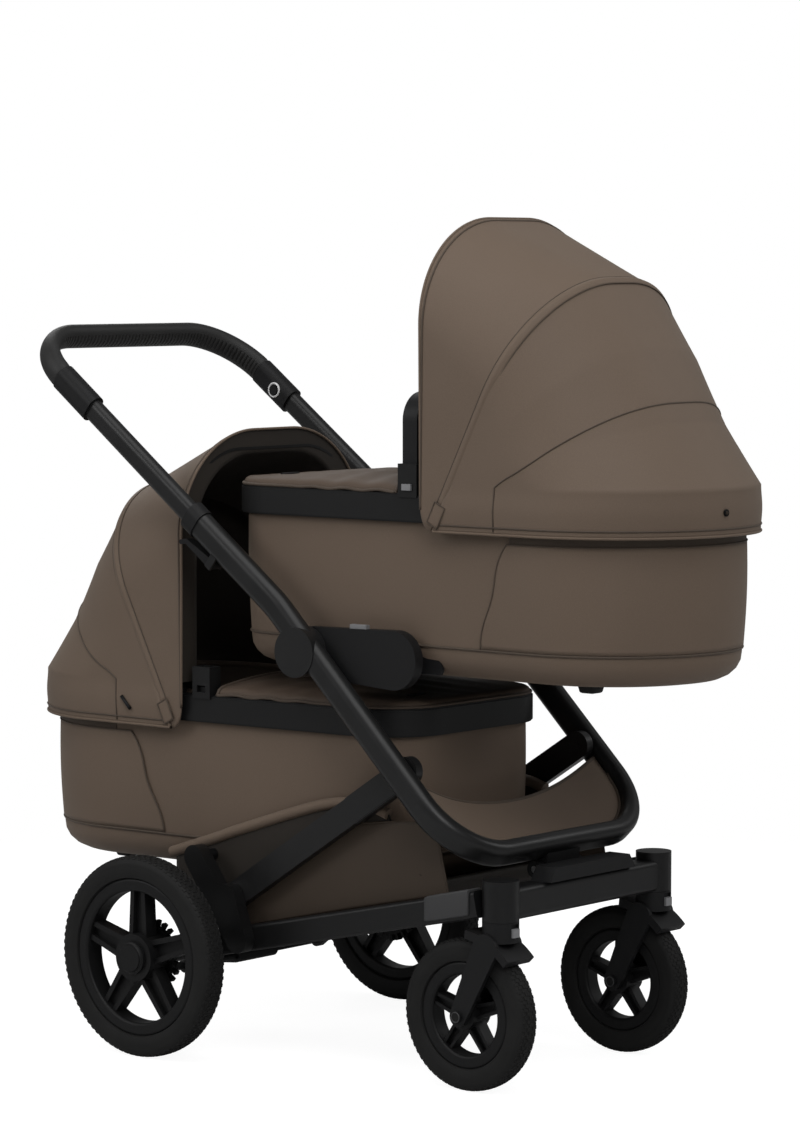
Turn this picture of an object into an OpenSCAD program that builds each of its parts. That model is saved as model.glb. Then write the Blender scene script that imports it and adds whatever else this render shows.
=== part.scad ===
// Twin pram: two carrycots on a folding four-wheel chassis.
// Millimetres. +X is the way it rolls, +Y its left side, +Z up.
// The origin is on the floor, midway between the two cots.

/* [Wheels] */
// Distance of the rear axle behind the origin
rear_axle_back = 219.5; // [200:0.5:240]
// Diameter of a rear wheel
rear_wheel_d = 295; // [270:1:305]
// Distance between the middle planes of the rear wheels
rear_track = 589; // [580:1:640]
// Width of a rear tyre
rear_tyre_w = 42; // [36:1:46]
// Distance from the rear axle to the front axle
wheelbase = 519; // [505:1:530]
// Diameter of a front wheel
front_wheel_d = 216; // [205:1:218]
// Distance between the two caster stems
front_track = 360; // [345:1:370]
// Width of a front tyre
front_tyre_w = 38; // [32:1:40]
// Distance of the caster stem ahead of its wheel's axle
caster_trail = 53; // [48:1:58]
// Height of a tyre's section from the rim to the tread
tyre_h = 32; // [28:1:34]
// Depth of the rim under the tyre
rim_h = 19; // [16:1:22]
// Number of spokes in a wheel
spokes = 5; // [4:1:6]
// Diameter of the rear axle shaft
axle_d = 12; // [10:0.5:14]
// Diameter of a front wheel's bolt
bolt_d = 8; // [6:0.5:9]

/* [Chassis] */
// Width of a base tube
base_tube_w = 24; // [20:1:26]
// Depth of a base tube
base_tube_h = 38; // [32:1:40]
// Outer face of a base tube, from the middle plane
base_tube_y = 208; // [206:0.5:209]
// Rise of a base tube towards the front, degrees
base_a = 12.4; // [11:0.2:13]
// Length of a base tube ahead of the rear axle
base_l = 486; // [476:1:492]
// Diameter of the rear axle beam
axle_beam_d = 36; // [32:1:38]
// Depth of the front beam
beam_h = 45; // [40:1:48]
// Thickness of the front beam, front to back
beam_t = 40; // [36:1:42]
// Height of the front beam's middle above the floor
beam_z = 268; // [264:1:270]
// Diameter of a caster housing
housing_d = 52; // [46:1:54]
// Height of a caster housing's top above the floor
housing_top = 302; // [298:1:306]
// Height of the split between housing and collar
housing_low = 245; // [243:1:248]
// Diameter of a caster stem
stem_d = 16; // [14:0.5:18]
// Thickness of a rear upright
upright_t = 20; // [16:1:22]
// Angle that the brake pedal turns through, degrees
brake_turn = 19; // [16:1:19]

/* [Main frame] */
// Width of the main tube, side to side
tube_w = 28; // [26:1:30]
// Depth of the main tube, seen from the side
tube_h = 42; // [38:1:44]
// Wall of the main tube
tube_wall = 2.6; // [2:0.1:3]
// Middle of a main tube, from the middle plane
frame_y = 223; // [223:0.5:230]
// Top end of the main tube ahead of the rear axle
sleeve_ahead = 36; // [30:1:42]
// Height of the top end of the main tube
sleeve_z = 788; // [780:1:794]
// Fall of the handle and the upper tube, degrees
handle_a = 37; // [36:0.2:38]
// Fall of the lower tube, degrees
lower_a = 44.9; // [44:0.1:46]
// Length of the straight upper tube
upper_l = 190; // [186:1:196]
// Length of the lower tube down to the bow's middle
lower_l = 461; // [455:1:465]
// Radius of the bow's corners
bow_r = 100; // [80:1:120]
// Drop from the bow's middle to the fold hinge
hinge_drop = 33; // [32:1:35]
// Diameter of the fold hinge pin
hinge_d = 10; // [8:0.5:11]
// Thickness of an adapter arm
arm_t = 17; // [14:1:17.5]

/* [Struts] */
// Depth of a strut
strut_h = 38; // [32:1:40]
// Thickness of a strut
strut_t = 16; // [13:1:16.5]
// Lower end of a strut ahead of the rear axle
strut_ahead = 100; // [94:1:106]
// Lower end of a strut above the floor
strut_z = 236; // [234:1:240]
// Length of a strut between its ends
strut_l = 382.7; // [379:0.1:386]
// Rise of a strut, degrees
strut_a = 32.8; // [32:0.2:34]
// Diameter of a strut's pin
strut_pin_d = 10; // [8:0.5:12]

/* [Handle] */
// Distance from the tube's top end to the handle bar
handle_reach = 423; // [400:1:440]
// Radius of the handle's corners
handle_r = 97; // [80:1:110]
// Width of the handle tube, side to side
handle_w = 21; // [18:0.5:21.5]
// Depth of the handle tube
handle_h = 34; // [28:0.5:35]
// Thickness of the grip over the tube
grip_t = 3.4; // [2.5:0.1:4]
// Length of an end collar of the grip
collar_l = 77; // [60:1:80]
// Length of handle tube inside the main tube
handle_in = 55; // [50:1:60]

/* [Cots] */
// Length of a cot over its rim
cot_l = 780; // [760:1:790]
// Width of a cot at its head end
cot_w = 396; // [386:1:398]
// Width of a cot at its foot end
cot_foot_w = 364; // [350:1:366]
// Radius of a cot's foot corners
cot_foot_r = 90; // [70:1:110]
// Distance between the two cots' middles along the pram
cot_spread = 431; // [428:0.5:440]
// Depth of a cot from its rim's top to its underside
cot_d = 247; // [244:1:250]
// Height of the upper cot's rim
upper_rim_z = 832; // [829:1:840]
// Height of the lower cot's rim
lower_rim_z = 522; // [520:1:525]
// Height of the rim band
rim_band_h = 40; // [34:1:42]
// Thickness of the rim band
rim_band_t = 18; // [16:1:20]
// Thickness of the cloth wall of a tub
tub_t = 5; // [4:0.5:6]
// Thickness of the mattress
mattress_t = 42; // [30:1:50]

/* [Hoods] */
// Distance of the hood pivots from the foot end
pivot_from_foot = 431; // [425:1:440]
// Height of the hood pivots above the rim
pivot_rise = 14; // [13.5:0.5:18]
// Angle of the front bow, degrees
front_bow_a = 94; // [92:0.5:96]
// Angle of the middle bow, degrees
mid_bow_a = 60; // [58:1:62]
// Height of the hood over its pivots at the front bow
front_bow_r = 363; // [355:1:370]
// Height of the hood over its pivots at the middle bow
mid_bow_r = 321; // [312:1:330]
// Thickness of the hood's cloth
hood_t = 3; // [2.5:0.1:3.5]
// Radius of the hood's shoulders at the front bow
shoulder_r = 130; // [115:1:140]
// Radius of the hood's shoulders at the middle bow
mid_shoulder_r = 178; // [165:1:182]
// Thickness of a bow strip
bow_t = 4; // [3:0.5:4]
// Width of a bow strip
bow_strip_w = 16; // [12:1:20]

/* [Carry handle] */
// Height of the carry handle over its sockets
carry_h = 100; // [80:1:110]
// Width of the carry handle's strip
carry_w = 26; // [22:1:28]
// Thickness of the carry handle
carry_t = 12; // [10:0.5:13]

/* [Fits] */
// Gap between pieces that only stand beside each other
stand_gap = 0.5; // [0.4:0.1:0.8]
// Radial gap of a running fit
run_gap = 0.05; // [0.03:0.01:0.09]
// Overrun of a cut past the solid
cut = 2; // [1:0.5:4]

/* [Hidden] */
$fn = 64;
cloth = "#5b4c42";
black = "#26272a";
grey = "#8d8f92";
rubber = "#1b1b1d";

axle_x = -rear_axle_back;
rear_r = rear_wheel_d / 2;
front_r = front_wheel_d / 2;
rear_y = rear_track / 2;
front_x = axle_x + wheelbase;
stem_x = front_x + caster_trail;
stem_y = front_track / 2;

// Main frame: points of its side view, as [x, z]
sleeve = [axle_x + sleeve_ahead, sleeve_z];
kink_r = 200;
kink_a = lower_a - handle_a;
kink_l = kink_r * sin(kink_a);
kink_drop = kink_r * (1 - cos(kink_a));
function along(p, a, far, up) =
    [p.x + far * cos(a) + up * sin(a), p.y - far * sin(a) + up * cos(a)];
lower_start = along(sleeve, handle_a, upper_l + kink_l, -kink_drop);
bow = along(lower_start, lower_a, lower_l, 0);
hinge_back = 5;
hinge = [bow.x - hinge_back, bow.y - hinge_drop];
inner_face = frame_y - tube_w / 2;

// Cots: both are made with the foot end at -X and the rim's top at zero height
pivot_x = pivot_from_foot - cot_l / 2;
head_r = cot_w / 2;
head_x = cot_l / 2 - head_r;
foot_x = cot_foot_r - cot_l / 2;
foot_y = cot_foot_w / 2 - cot_foot_r;
side_run = [foot_x - head_x, foot_y];
side_far = norm(side_run);
side_lean = (head_r - cot_foot_r) / side_far;
side_dir = side_run / side_far;
side_rise = sqrt(1 - side_lean * side_lean);
side_n = side_dir * side_lean + [side_dir.y, -side_dir.x] * side_rise;
side_turn = atan2(side_n.y, side_n.x);
side_l = side_far * side_rise;
tub_top_in = 15;
tub_low_in = 23;
tub_corner = 24;
base_h = 8;
base_drop = 6;
bracket_x = -35;
bracket_up = 13;
bracket_d = 18;
bracket_r = 30;
bracket_t = 6;
bracket_inset = 6.5;
bracket_y = cot_foot_w / 2 - bracket_inset;
socket_x = -20;
socket_w = 34;
socket_h = 42;
socket_t = 24;
socket_y = 181.5;
carry_in = 30;
button_push = 2.5;
upper_at = [cot_spread / 2, upper_rim_z];
lower_at = [-cot_spread / 2, lower_rim_z];

// Shared shapes

// Flat oval, its long side upright
module oval(w, h) {
    square([w, h - w], center = true);
    for (s = [-1, 1]) translate([0, s * (h - w) / 2]) circle(d = w);
}

module oval_ring(w, h, wall) {
    difference() {
        oval(w, h);
        oval(w - 2 * wall, h - 2 * wall);
    }
}

module rounded(w, h, r) {
    square([w - 2 * r, h], center = true);
    square([w, h - 2 * r], center = true);
    for (sx = [-1, 1], sy = [-1, 1])
        translate([sx * (w / 2 - r), sy * (h / 2 - r)]) circle(r);
}

// Bar with two round ends, between two points of the side view
module link(p, q, rp, rq) {
    far = norm(q - p);
    dir = (q - p) / far;
    lean = (rp - rq) / far;
    rise = sqrt(1 - lean * lean);
    n1 = dir * lean + [-dir.y, dir.x] * rise;
    n2 = dir * lean - [-dir.y, dir.x] * rise;
    translate(p) circle(rp);
    translate(q) circle(rq);
    polygon([p + n1 * rp, q + n1 * rq, q + n2 * rq, p + n2 * rp]);
}

// Raises a side-view outline, drawn as [x, z], from one side distance to another
module side(y0, y1) {
    translate([0, y1, 0]) rotate([90, 0, 0]) linear_extrude(y1 - y0) children();
}

// Round bar across the pram
module cross_bar(p, d, y0, y1) {
    translate([p.x, y1, p.y]) rotate([90, 0, 0]) cylinder(d = d, h = y1 - y0);
}

module on_left(left) {
    if (left) children();
    else mirror([0, 1, 0]) children();
}

// Straight run along +X with an outline drawn as [y, z]
module run(l) {
    rotate([90, 0, 90]) linear_extrude(l) children();
}

// Wheels, made round the Y axis

module wheel_at(x, y, z) {
    translate([x, y, z]) children();
}

module spin() {
    rotate([90, 0, 0]) rotate_extrude() children();
}

groove_share = 0.22;
module tyre(r, w) {
    groove = tyre_h / 14;
    color(rubber) spin() difference() {
        translate([r - tyre_h / 2, 0]) rounded(tyre_h, w, tyre_h * 0.42);
        for (k = [-1, 0, 1])
            translate([r, k * w * groove_share]) square([2 * groove, groove], center = true);
    }
}

// Rim with a hub and spokes of two ribs each, with a sunk web between the ribs
hub_share = 0.36;
spoke_root_share = 0.62;
spoke_end_share = 0.44;
rib_share = 0.13;
module rim(r, w, bore_d) {
    out_r = r - tyre_h - stand_gap / 5;
    in_r = out_r - rim_h;
    hub_r = in_r * hub_share;
    wide = w * 0.8;
    spoke_t = w * 0.52;
    spoke_l = in_r - hub_r;
    root_w = spoke_l * spoke_root_share;
    end_w = spoke_l * spoke_end_share;
    rib = spoke_l * rib_share;
    color(black) difference() {
        union() {
            spin() translate([out_r - rim_h / 2, 0]) rounded(rim_h, wide, rim_h / 4);
            spin() translate([0, -w / 2]) square([hub_r, w]);
            difference() {
                side(-spoke_t / 2, spoke_t / 2) spoke_star(hub_r * 0.7, in_r + rim_h / 2, root_w, end_w);
                for (s = [-1, 1]) side(s * spoke_t / 2 - spoke_t / 3, s * spoke_t / 2 + spoke_t / 3)
                    spoke_star(hub_r * 0.6, in_r + rim_h, root_w - 2 * rib, end_w - 2 * rib);
            }
        }
        rotate([90, 0, 0]) cylinder(d = bore_d + 2 * run_gap, h = w + 2 * cut, center = true);
    }
}

module spoke_star(r0, r1, root_w, end_w) {
    circle(r0);
    for (k = [0 : spokes - 1]) rotate(90 + 360 / spokes * k)
        polygon([[0, -root_w / 2], [r1, -end_w / 2], [r1, end_w / 2], [0, root_w / 2]]);
}

// Rear wheel, hub cap outwards at +Y, notched brake ring inwards
notches = 24;
ring_r = 52;
ring_t = 6;
ring_lap = 3;
notch_d = 10;
notch_w = 7.5;
cap_r = 24;
cap_h = 9;
module rear_rim() {
    hub_in = rear_tyre_w / 2;
    color(black) {
        rim(rear_r, rear_tyre_w, axle_d);
        difference() {
            translate([0, -hub_in + ring_lap, 0]) rotate([90, 0, 0]) cylinder(r = ring_r, h = ring_t + ring_lap);
            rotate([90, 0, 0]) cylinder(d = axle_d + 2 * run_gap, h = 2 * rear_tyre_w, center = true);
            for (k = [0 : notches - 1])
                rotate([0, pawl_a + 360 / notches * k, 0])
                    translate([ring_r - notch_d, -hub_in - ring_t - cut, -notch_w / 2])
                        cube([2 * notch_d, ring_t + ring_lap + 2 * cut, notch_w]);
        }
        translate([0, hub_in - ring_lap, 0]) rotate([-90, 0, 0]) rotate_extrude() difference() {
            square([cap_r, cap_h + ring_lap]);
            translate([cap_r, cap_h + ring_lap]) circle(cap_h / 2);
        }
    }
}

module rear_wheel(left) {
    on_left(left) translate([axle_x, rear_y, rear_r]) children();
}

// Casters, stem axis at the origin of x and y

fork_gap = 3.5;
fork_in = front_tyre_w / 2 + fork_gap;
fork_t = 7;
crown_gap = 4;
crown_t = 12;
leg_top = [-6, 208];
module fork(left) {
    crown_r = front_r + crown_gap;
    axle = [-caster_trail, front_r];
    wide = 2 * (fork_in + fork_t);
    color(black) on_left(left) translate([stem_x, stem_y, 0]) {
        difference() {
            union() {
                for (s = [-1, 1]) side(s * (fork_in + fork_t / 2) - fork_t / 2, s * (fork_in + fork_t / 2) + fork_t / 2)
                    link(axle, leg_top, fork_t * 2, fork_t * 3);
                translate([axle.x, 0, axle.y]) rotate([90, 0, 0]) rotate([0, 0, 44])
                    rotate_extrude(angle = 40) translate([crown_r, -wide / 2]) square([crown_t, wide]);
                translate([0, 0, collar_low]) cylinder(d = housing_d, h = housing_low - stand_gap - collar_low);
            }
            for (s = [-1, 1])
                cross_bar(axle, bolt_d, s * (fork_in + fork_t / 2) - fork_t, s * (fork_in + fork_t / 2) + fork_t);
            translate([housing_d / 2 - lock_t, -lock_w / 2 - stand_gap, lock_z - stand_gap])
                cube([housing_d, lock_w + 2 * stand_gap, lock_h + lock_travel + 2 * stand_gap]);
        }
        translate([0, 0, collar_low])
            cylinder(d = stem_d, h = housing_top - cap_t - stand_gap - collar_low);
        cross_bar(axle, bolt_d, -wide / 2 - bolt_head, wide / 2 + bolt_head);
        for (s = [-1, 1])
            cross_bar(axle, 2 * bolt_d, s * (wide / 2 + bolt_head / 2) - bolt_head / 2, s * (wide / 2 + bolt_head / 2) + bolt_head / 2);
    }
}
collar_low = 216;
cap_t = 8;
bolt_head = 4;
lock_w = 14;
lock_h = 12;
lock_t = 4;
lock_z = 224;
lock_travel = 6;

module swivel_lock(left) {
    proud = 2;
    color(grey) on_left(left) translate([stem_x, stem_y, 0])
        translate([housing_d / 2 - lock_t + stand_gap / 2, -lock_w / 2, lock_z])
            cube([lock_t + proud, lock_w, lock_h]);
}

module front_wheel(left) {
    on_left(left) translate([front_x, stem_y, front_r]) children();
}

// Chassis

link_l = 76;
module front_beam() {
    color(black) difference() {
        union() {
            translate([stem_x, stem_y, beam_z]) rotate([90, 0, 0]) linear_extrude(2 * stem_y)
                rounded(beam_t, beam_h, beam_t / 5);
            for (s = [-1, 1]) translate([stem_x, s * stem_y, housing_low])
                cylinder(d = housing_d, h = housing_top - housing_low);
            for (s = [-1, 1]) base_line(s) translate([base_l, 0, 0]) run(link_l) rounded(base_tube_w, base_tube_h, base_tube_w / 4);
            for (s = [-1, 1]) side(s * ear_y - ear_t / 2, s * ear_y + ear_t / 2)
                link(hinge, [stem_x, beam_z], ear_r, beam_t / 3);
        }
        for (s = [-1, 1]) translate([stem_x, s * stem_y, housing_low - cut])
            cylinder(d = stem_d + 2 * run_gap, h = housing_top - cap_t - housing_low + cut);
        cross_bar(hinge, hinge_d, -ear_y - ear_t, ear_y + ear_t);
    }
}
ear_t = 12;
ear_r = 12;
lug_w = 76;
ear_y = lug_w / 2 + stand_gap + ear_t / 2;

module base_line(s) {
    translate([axle_x, s * (base_tube_y - base_tube_w / 2), rear_r]) rotate([0, -base_a, 0]) children();
}

cover_l = 200;
cover_l_top = 172;
cover_h = 20;
cover_t = 36;
cover_ahead = 8;
module pivot_cover() {
    color(black) translate([stem_x - cover_t / 2 + cover_ahead, 0, beam_z + beam_h / 2]) rotate([90, 0, 90])
        linear_extrude(cover_t) polygon([
            [-cover_l / 2, 0], [cover_l / 2, 0], [cover_l_top / 2, cover_h], [-cover_l_top / 2, cover_h],
        ]);
}

module fold_pin() {
    color(grey) cross_bar(hinge, hinge_d, -ear_y - ear_t / 2, ear_y + ear_t / 2);
}

ring_gap = 1.5;
beam_end = rear_y - rear_tyre_w / 2 - ring_t - ring_gap;
module rear_axle_beam() {
    color(black) difference() {
        union() {
            cross_bar([axle_x, rear_r], axle_beam_d, -beam_end, beam_end);
            for (s = [-1, 1]) side(s * brake_lug_y - ear_t / 2, s * brake_lug_y + ear_t / 2)
                link([axle_x, rear_r], brake_at, axle_beam_d / 3, brake_d);
        }
        cross_bar([axle_x, rear_r], axle_d, -rear_y, rear_y);
        cross_bar(brake_at, brake_d + 2 * run_gap, -rear_y, rear_y);
    }
}

module rear_axle_shaft() {
    far = rear_y + rear_tyre_w / 2 - ring_lap - stand_gap;
    color(grey) cross_bar([axle_x, rear_r], axle_d, -far, far);
}

module base_tube(left) {
    s = left ? 1 : -1;
    color(black) difference() {
        base_line(s) run(base_l) rounded(base_tube_w, base_tube_h, base_tube_w / 4);
        cross_bar([axle_x, rear_r], axle_beam_d + stand_gap / 2, -rear_y, rear_y);
    }
}

strut_at = [axle_x + strut_ahead, strut_z];
strut_tip = along(strut_at, -strut_a, strut_l, 0);
lower_stub = [lower_at.x - bracket_x, lower_rim_z - cot_d + bracket_up];
upper_stub = [upper_at.x + bracket_x, upper_rim_z - cot_d + bracket_up];
upright_ahead = 122;
upright_foot = [axle_x + upright_ahead, rear_r + upright_ahead * tan(base_a)];
module rear_upright(left) {
    y0 = base_tube_y + stand_gap / 2;
    color(black) on_left(left) {
        side(y0, y0 + upright_t) {
            link(upright_foot, lower_stub, base_tube_h / 2, bracket_d);
            link(upright_foot, strut_at, base_tube_h / 2, strut_h / 2);
        }
        cross_bar(lower_stub, bracket_d, bracket_y - bracket_t, y0 + upright_t);
    }
}

// Brake bar with two pawls that drop into the notched rings
brake_d = 11;
brake_r = 60;
brake_dir = 220;
pawl_l = 30;
pawl_d = 6;
pawl_t = 6;
pawl_rest = 112.5;
brake_at = [axle_x + brake_r * cos(brake_dir), rear_r + brake_r * sin(brake_dir)];
pawl_at = brake_at + pawl_l * [cos(brake_dir - pawl_rest), sin(brake_dir - pawl_rest)];
pawl_in = brake_at + pawl_l * [cos(brake_dir - pawl_rest - brake_turn), sin(brake_dir - pawl_rest - brake_turn)];
pawl_a = -atan2(pawl_in.y - rear_r, pawl_in.x - axle_x);
brake_lug_y = 150;
pedal_l = 70;
pedal_w = 86;
pedal_t = 12;
module brake_pedal() {
    pawl_y = rear_y - rear_tyre_w / 2 - ring_t / 2;
    color(black) {
        cross_bar(brake_at, brake_d, -pawl_y + pawl_t / 2, pawl_y - pawl_t / 2);
        for (s = [-1, 1]) {
            side(s * (pawl_y - pawl_t - stand_gap) - pawl_t / 2, s * (pawl_y - pawl_t - stand_gap) + pawl_t / 2)
                link(brake_at, pawl_at, brake_d / 2, pawl_d / 2);
            cross_bar(pawl_at, pawl_d, s * (pawl_y - pawl_t / 2) - pawl_t, s * (pawl_y - pawl_t / 2) + pawl_t);
        }
        side(-pedal_w / 2, pedal_w / 2)
            link(brake_at, brake_at + [-pedal_l, -pedal_t], brake_d, pedal_t / 2);
    }
}

// Basket of cloth between the base tubes, with a padded rim
basket_t = 4;
basket_y = base_tube_y - base_tube_w - stand_gap;
basket_back = axle_x + 60;
basket_front = axle_x + 440;
panel_back = basket_back + 70;
basket_rim_r = 9;
basket_rim_t = 13;
rim_back = [axle_x - 40, 292];
rim_mid = [axle_x + 268, 392];
rim_front = [axle_x + 372, 378];
panel_nose = [axle_x + 395, 325];
wall_top = [axle_x + 432, 300];
function base_top(x) = rear_r + (x - axle_x) * tan(base_a) + base_tube_h / 2 / cos(base_a);
module basket() {
    floor_back = base_top(basket_back) - basket_t;
    floor_front = base_top(basket_front) - basket_t;
    floor_outline = [
        [basket_back, floor_back], [basket_front, floor_front],
        [basket_front, floor_front + basket_t], [basket_back, floor_back + basket_t],
    ];
    color(cloth) {
        side(-basket_y, basket_y) polygon(floor_outline);
        side(-basket_y, basket_y) link([basket_front, floor_front + basket_t / 2], wall_top, basket_t / 2, basket_t / 2);
        for (s = [-1, 1]) {
            side(s * (basket_y - basket_t / 2) - basket_t / 2, s * (basket_y - basket_t / 2) + basket_t / 2) polygon([
                [panel_back, base_top(panel_back) - basket_t / 2], [basket_front, floor_front + basket_t / 2],
                wall_top, panel_nose, rim_front, rim_mid, [panel_back, rim_back.y + (panel_back - rim_back.x) * rim_slope],
            ]);
            side(s * rim_y - basket_rim_t / 2, s * rim_y + basket_rim_t / 2) {
                link(rim_back, rim_mid, basket_rim_r, basket_rim_r);
                link(rim_mid, rim_front, basket_rim_r, basket_rim_r);
            }
        }
    }
}
rim_slope = (rim_mid.y - rim_back.y) / (rim_mid.x - rim_back.x);
rim_y = base_tube_y - strut_t - 4 * stand_gap - basket_rim_t / 2;

// Main frame

module upper_line() {
    translate([sleeve.x, 0, sleeve.y]) rotate([0, handle_a, 0]) children();
}

module lower_line() {
    translate([lower_start.x, 0, lower_start.y]) rotate([0, lower_a, 0]) children();
}

boss_far = 62;
boss_drop = 14;
boss_r = 36;
boss_proud = 1;
boss = along(lower_start, lower_a, boss_far, -boss_drop);
module main_frame() {
    color(black) difference() {
        union() {
            main_tube();
            for (s = [-1, 1]) lever_mount(s);
            for (s = [-1, 1])
                side(s * frame_y - tube_w / 2 - boss_proud, s * frame_y + tube_w / 2 + boss_proud)
                    translate(boss) circle(boss_r);
            for (k = [0, 1]) mirror([0, k, 0])
                cross_bar(strut_tip, strut_pin_d, base_tube_y - strut_t - 2 * stand_gap, frame_y);
            side(-lug_w / 2, lug_w / 2) link(bow, hinge, ear_r * 0.9, ear_r);
        }
        cross_bar(hinge, hinge_d + 2 * run_gap, -lug_w, lug_w);
        for (s = [-1, 1]) translate([0, s * frame_y, 0]) upper_line() translate([-cut, 0, 0])
            run(upper_l) oval(tube_w - 2 * tube_wall, tube_h - 2 * tube_wall);
    }
}

module main_tube() {
    leg_l = lower_l - bow_r;
    for (s = [-1, 1]) translate([0, s * frame_y, 0]) {
        upper_line() run(upper_l) oval(tube_w, tube_h);
        lower_line() translate([0, 0, -kink_r]) rotate([90, 0, 0]) rotate([0, 0, 90])
            rotate_extrude(angle = kink_a) translate([kink_r, 0]) rotate(90) oval(tube_w, tube_h);
        lower_line() run(leg_l) oval(tube_w, tube_h);
    }
    lower_line() translate([leg_l, 0, 0]) {
        for (s = [0, 1]) mirror([0, s, 0]) translate([0, frame_y - bow_r, 0])
            rotate_extrude(angle = 90) translate([bow_r, 0]) oval(tube_w, tube_h);
        translate([bow_r, frame_y - bow_r, 0]) rotate([90, 0, 0])
            linear_extrude(2 * (frame_y - bow_r)) oval(tube_w, tube_h);
    }
}

sleeve_l = 24;
sleeve_t = 2.2;
module frame_collars() {
    color(black) for (s = [-1, 1]) translate([0, s * frame_y, 0]) upper_line()
        translate([-sleeve_t, 0, 0]) {
            run(sleeve_t) difference() {
                oval(tube_w + 2 * sleeve_t, tube_h + 2 * sleeve_t);
                oval(handle_w + 2 * stand_gap, handle_h + 2 * stand_gap);
            }
            run(sleeve_l) difference() {
                oval(tube_w + 2 * sleeve_t, tube_h + 2 * sleeve_t);
                oval(tube_w + stand_gap / 5, tube_h + stand_gap / 5);
            }
        }
}

// Cloth panel slung in the bow
rest_l = 118;
rest_sag = 26;
rest_t = 4;
rest_n = 14;
rest_m = 7;
rest_side = frame_y - tube_w / 2 - stand_gap;
rest_corner = bow_r - tube_w / 2;
function rest_dip(u, v) = -rest_sag * (1 - pow(abs(u), 2.4)) * sin(90 * (0.25 + 0.75 * v));
function rest_low(u) = abs(u) * rest_side <= rest_side - rest_corner ? 0
    : rest_corner - sqrt(max(0, pow(rest_corner, 2) - pow(abs(u) * rest_side - rest_side + rest_corner, 2)));
rest_scoop = 34;
function rest_high(u) = rest_l - rest_scoop * (1 - u * u);
function rest_point(i, j, up) =
    let (u = -1 + 2 * i / rest_n, v = j / rest_m, far = rest_low(u) + v * max(rest_high(u) - rest_low(u), rest_t))
    [lower_l - tube_w / 2 - stand_gap - far, u * rest_side, rest_dip(u, v) * (1 - pow(abs(u), 8)) + up];
module footrest() {
    color(cloth) lower_line() shell(
        [for (j = [0 : rest_m]) [for (i = [0 : rest_n]) rest_point(i, j, rest_t / 2)]],
        [for (j = [0 : rest_m]) [for (i = [0 : rest_n]) rest_point(i, j, -rest_t / 2)]]);
}

// Closed sheet between two grids of points of the same shape
module shell(top, low) {
    m = len(top) - 1;
    n = len(top[0]) - 1;
    w = n + 1;
    half = (m + 1) * w;
    points = [for (r = top) each r, for (r = low) each r];
    faces = [
        for (j = [0 : m - 1], i = [0 : n - 1]) let (a = j * w + i) each [
            [a, a + 1, a + w], [a + 1, a + w + 1, a + w],
            [half + a, half + a + w, half + a + 1], [half + a + 1, half + a + w, half + a + w + 1],
        ],
        for (i = [0 : n - 1]) let (b = m * w + i) each [
            [i, half + i, i + 1], [i + 1, half + i, half + i + 1],
            [b, b + 1, half + b], [b + 1, half + b + 1, half + b],
        ],
        for (j = [0 : m - 1]) let (a = j * w, b = j * w + n) each [
            [a, a + w, half + a], [a + w, half + a + w, half + a],
            [b, half + b, b + w], [b + w, half + b, half + b + w],
        ],
    ];
    polyhedron(points, faces);
}

// Adapter arms that carry the upper cot
arm_end_r = 42;
arm_root_r = 35;
push_l = 30;
push_w = 8;
push_h = 6;
push_ahead = 12;
push_at = [(boss.x + upper_stub.x) / 2 + push_ahead, (boss.y + upper_stub.y) / 2 + (arm_end_r + arm_root_r) / 2];
module adapter_arm(left) {
    y1 = inner_face - boss_proud - stand_gap / 5;
    color(black) on_left(left) {
        difference() {
            side(y1 - arm_t, y1) link(boss, upper_stub, arm_root_r, arm_end_r);
            side(y1 - arm_t / 2 - push_w / 2 - stand_gap, y1 - arm_t / 2 + push_w / 2 + stand_gap)
                translate(push_at - [0, push_h]) square([push_l + 2 * stand_gap, 4 * push_h], center = true);
        }
        cross_bar(upper_stub, bracket_d, bracket_y - bracket_t, y1 - arm_t);
    }
}

module adapter_button(left) {
    y1 = inner_face - boss_proud - stand_gap / 5;
    color(grey) on_left(left)
        side(y1 - arm_t / 2 - push_w / 2, y1 - arm_t / 2 + push_w / 2)
            translate(push_at) square([push_l, 2 * push_h], center = true);
}

// Hook-shaped lever under the upper end of the main tube
lever_at = [46, 9];
lever_l = 58;
lever_t = 16;
lever_pin_d = 6;
lever_r = 7;
lever_pin = along(sleeve, handle_a, lever_at.x + lever_l / 2, -tube_h / 2 - lever_at.y);
cheek_t = 4;
module lever_mount(s) {
    cheek_in = lever_t / 2 + stand_gap;
    cheek_l = 2 * lever_pin_d;
    drop = lever_at.y + lever_pin_d;
    translate([0, s * frame_y, 0]) upper_line() translate([lever_at.x + lever_l / 2 - cheek_l / 2, 0, -tube_h / 2 - drop])
        for (k = [-1, 1]) translate([0, k * (cheek_in + cheek_t / 2) - cheek_t / 2, 0])
            cube([cheek_l, cheek_t, drop + tube_w / 4]);
    cross_bar(lever_pin, lever_pin_d, s * frame_y - cheek_in - cheek_t / 2, s * frame_y + cheek_in + cheek_t / 2);
}

module fold_lever(left) {
    pin = lever_pin;
    tip = along(pin, handle_a, -lever_l, -lever_r / 2);
    hook = along(tip, handle_a, -lever_r, -lever_r);
    color(black) on_left(left) difference() {
        union() {
            side(frame_y - lever_t / 2, frame_y + lever_t / 2) link(pin, tip, lever_r, lever_r / 2);
            side(frame_y - lever_t / 2, frame_y + lever_t / 2) link(tip, hook, lever_r / 2, lever_r / 2);
        }
        cross_bar(pin, lever_pin_d + 2 * run_gap, frame_y - tube_w, frame_y + tube_w);
    }
}

// Struts

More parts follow.
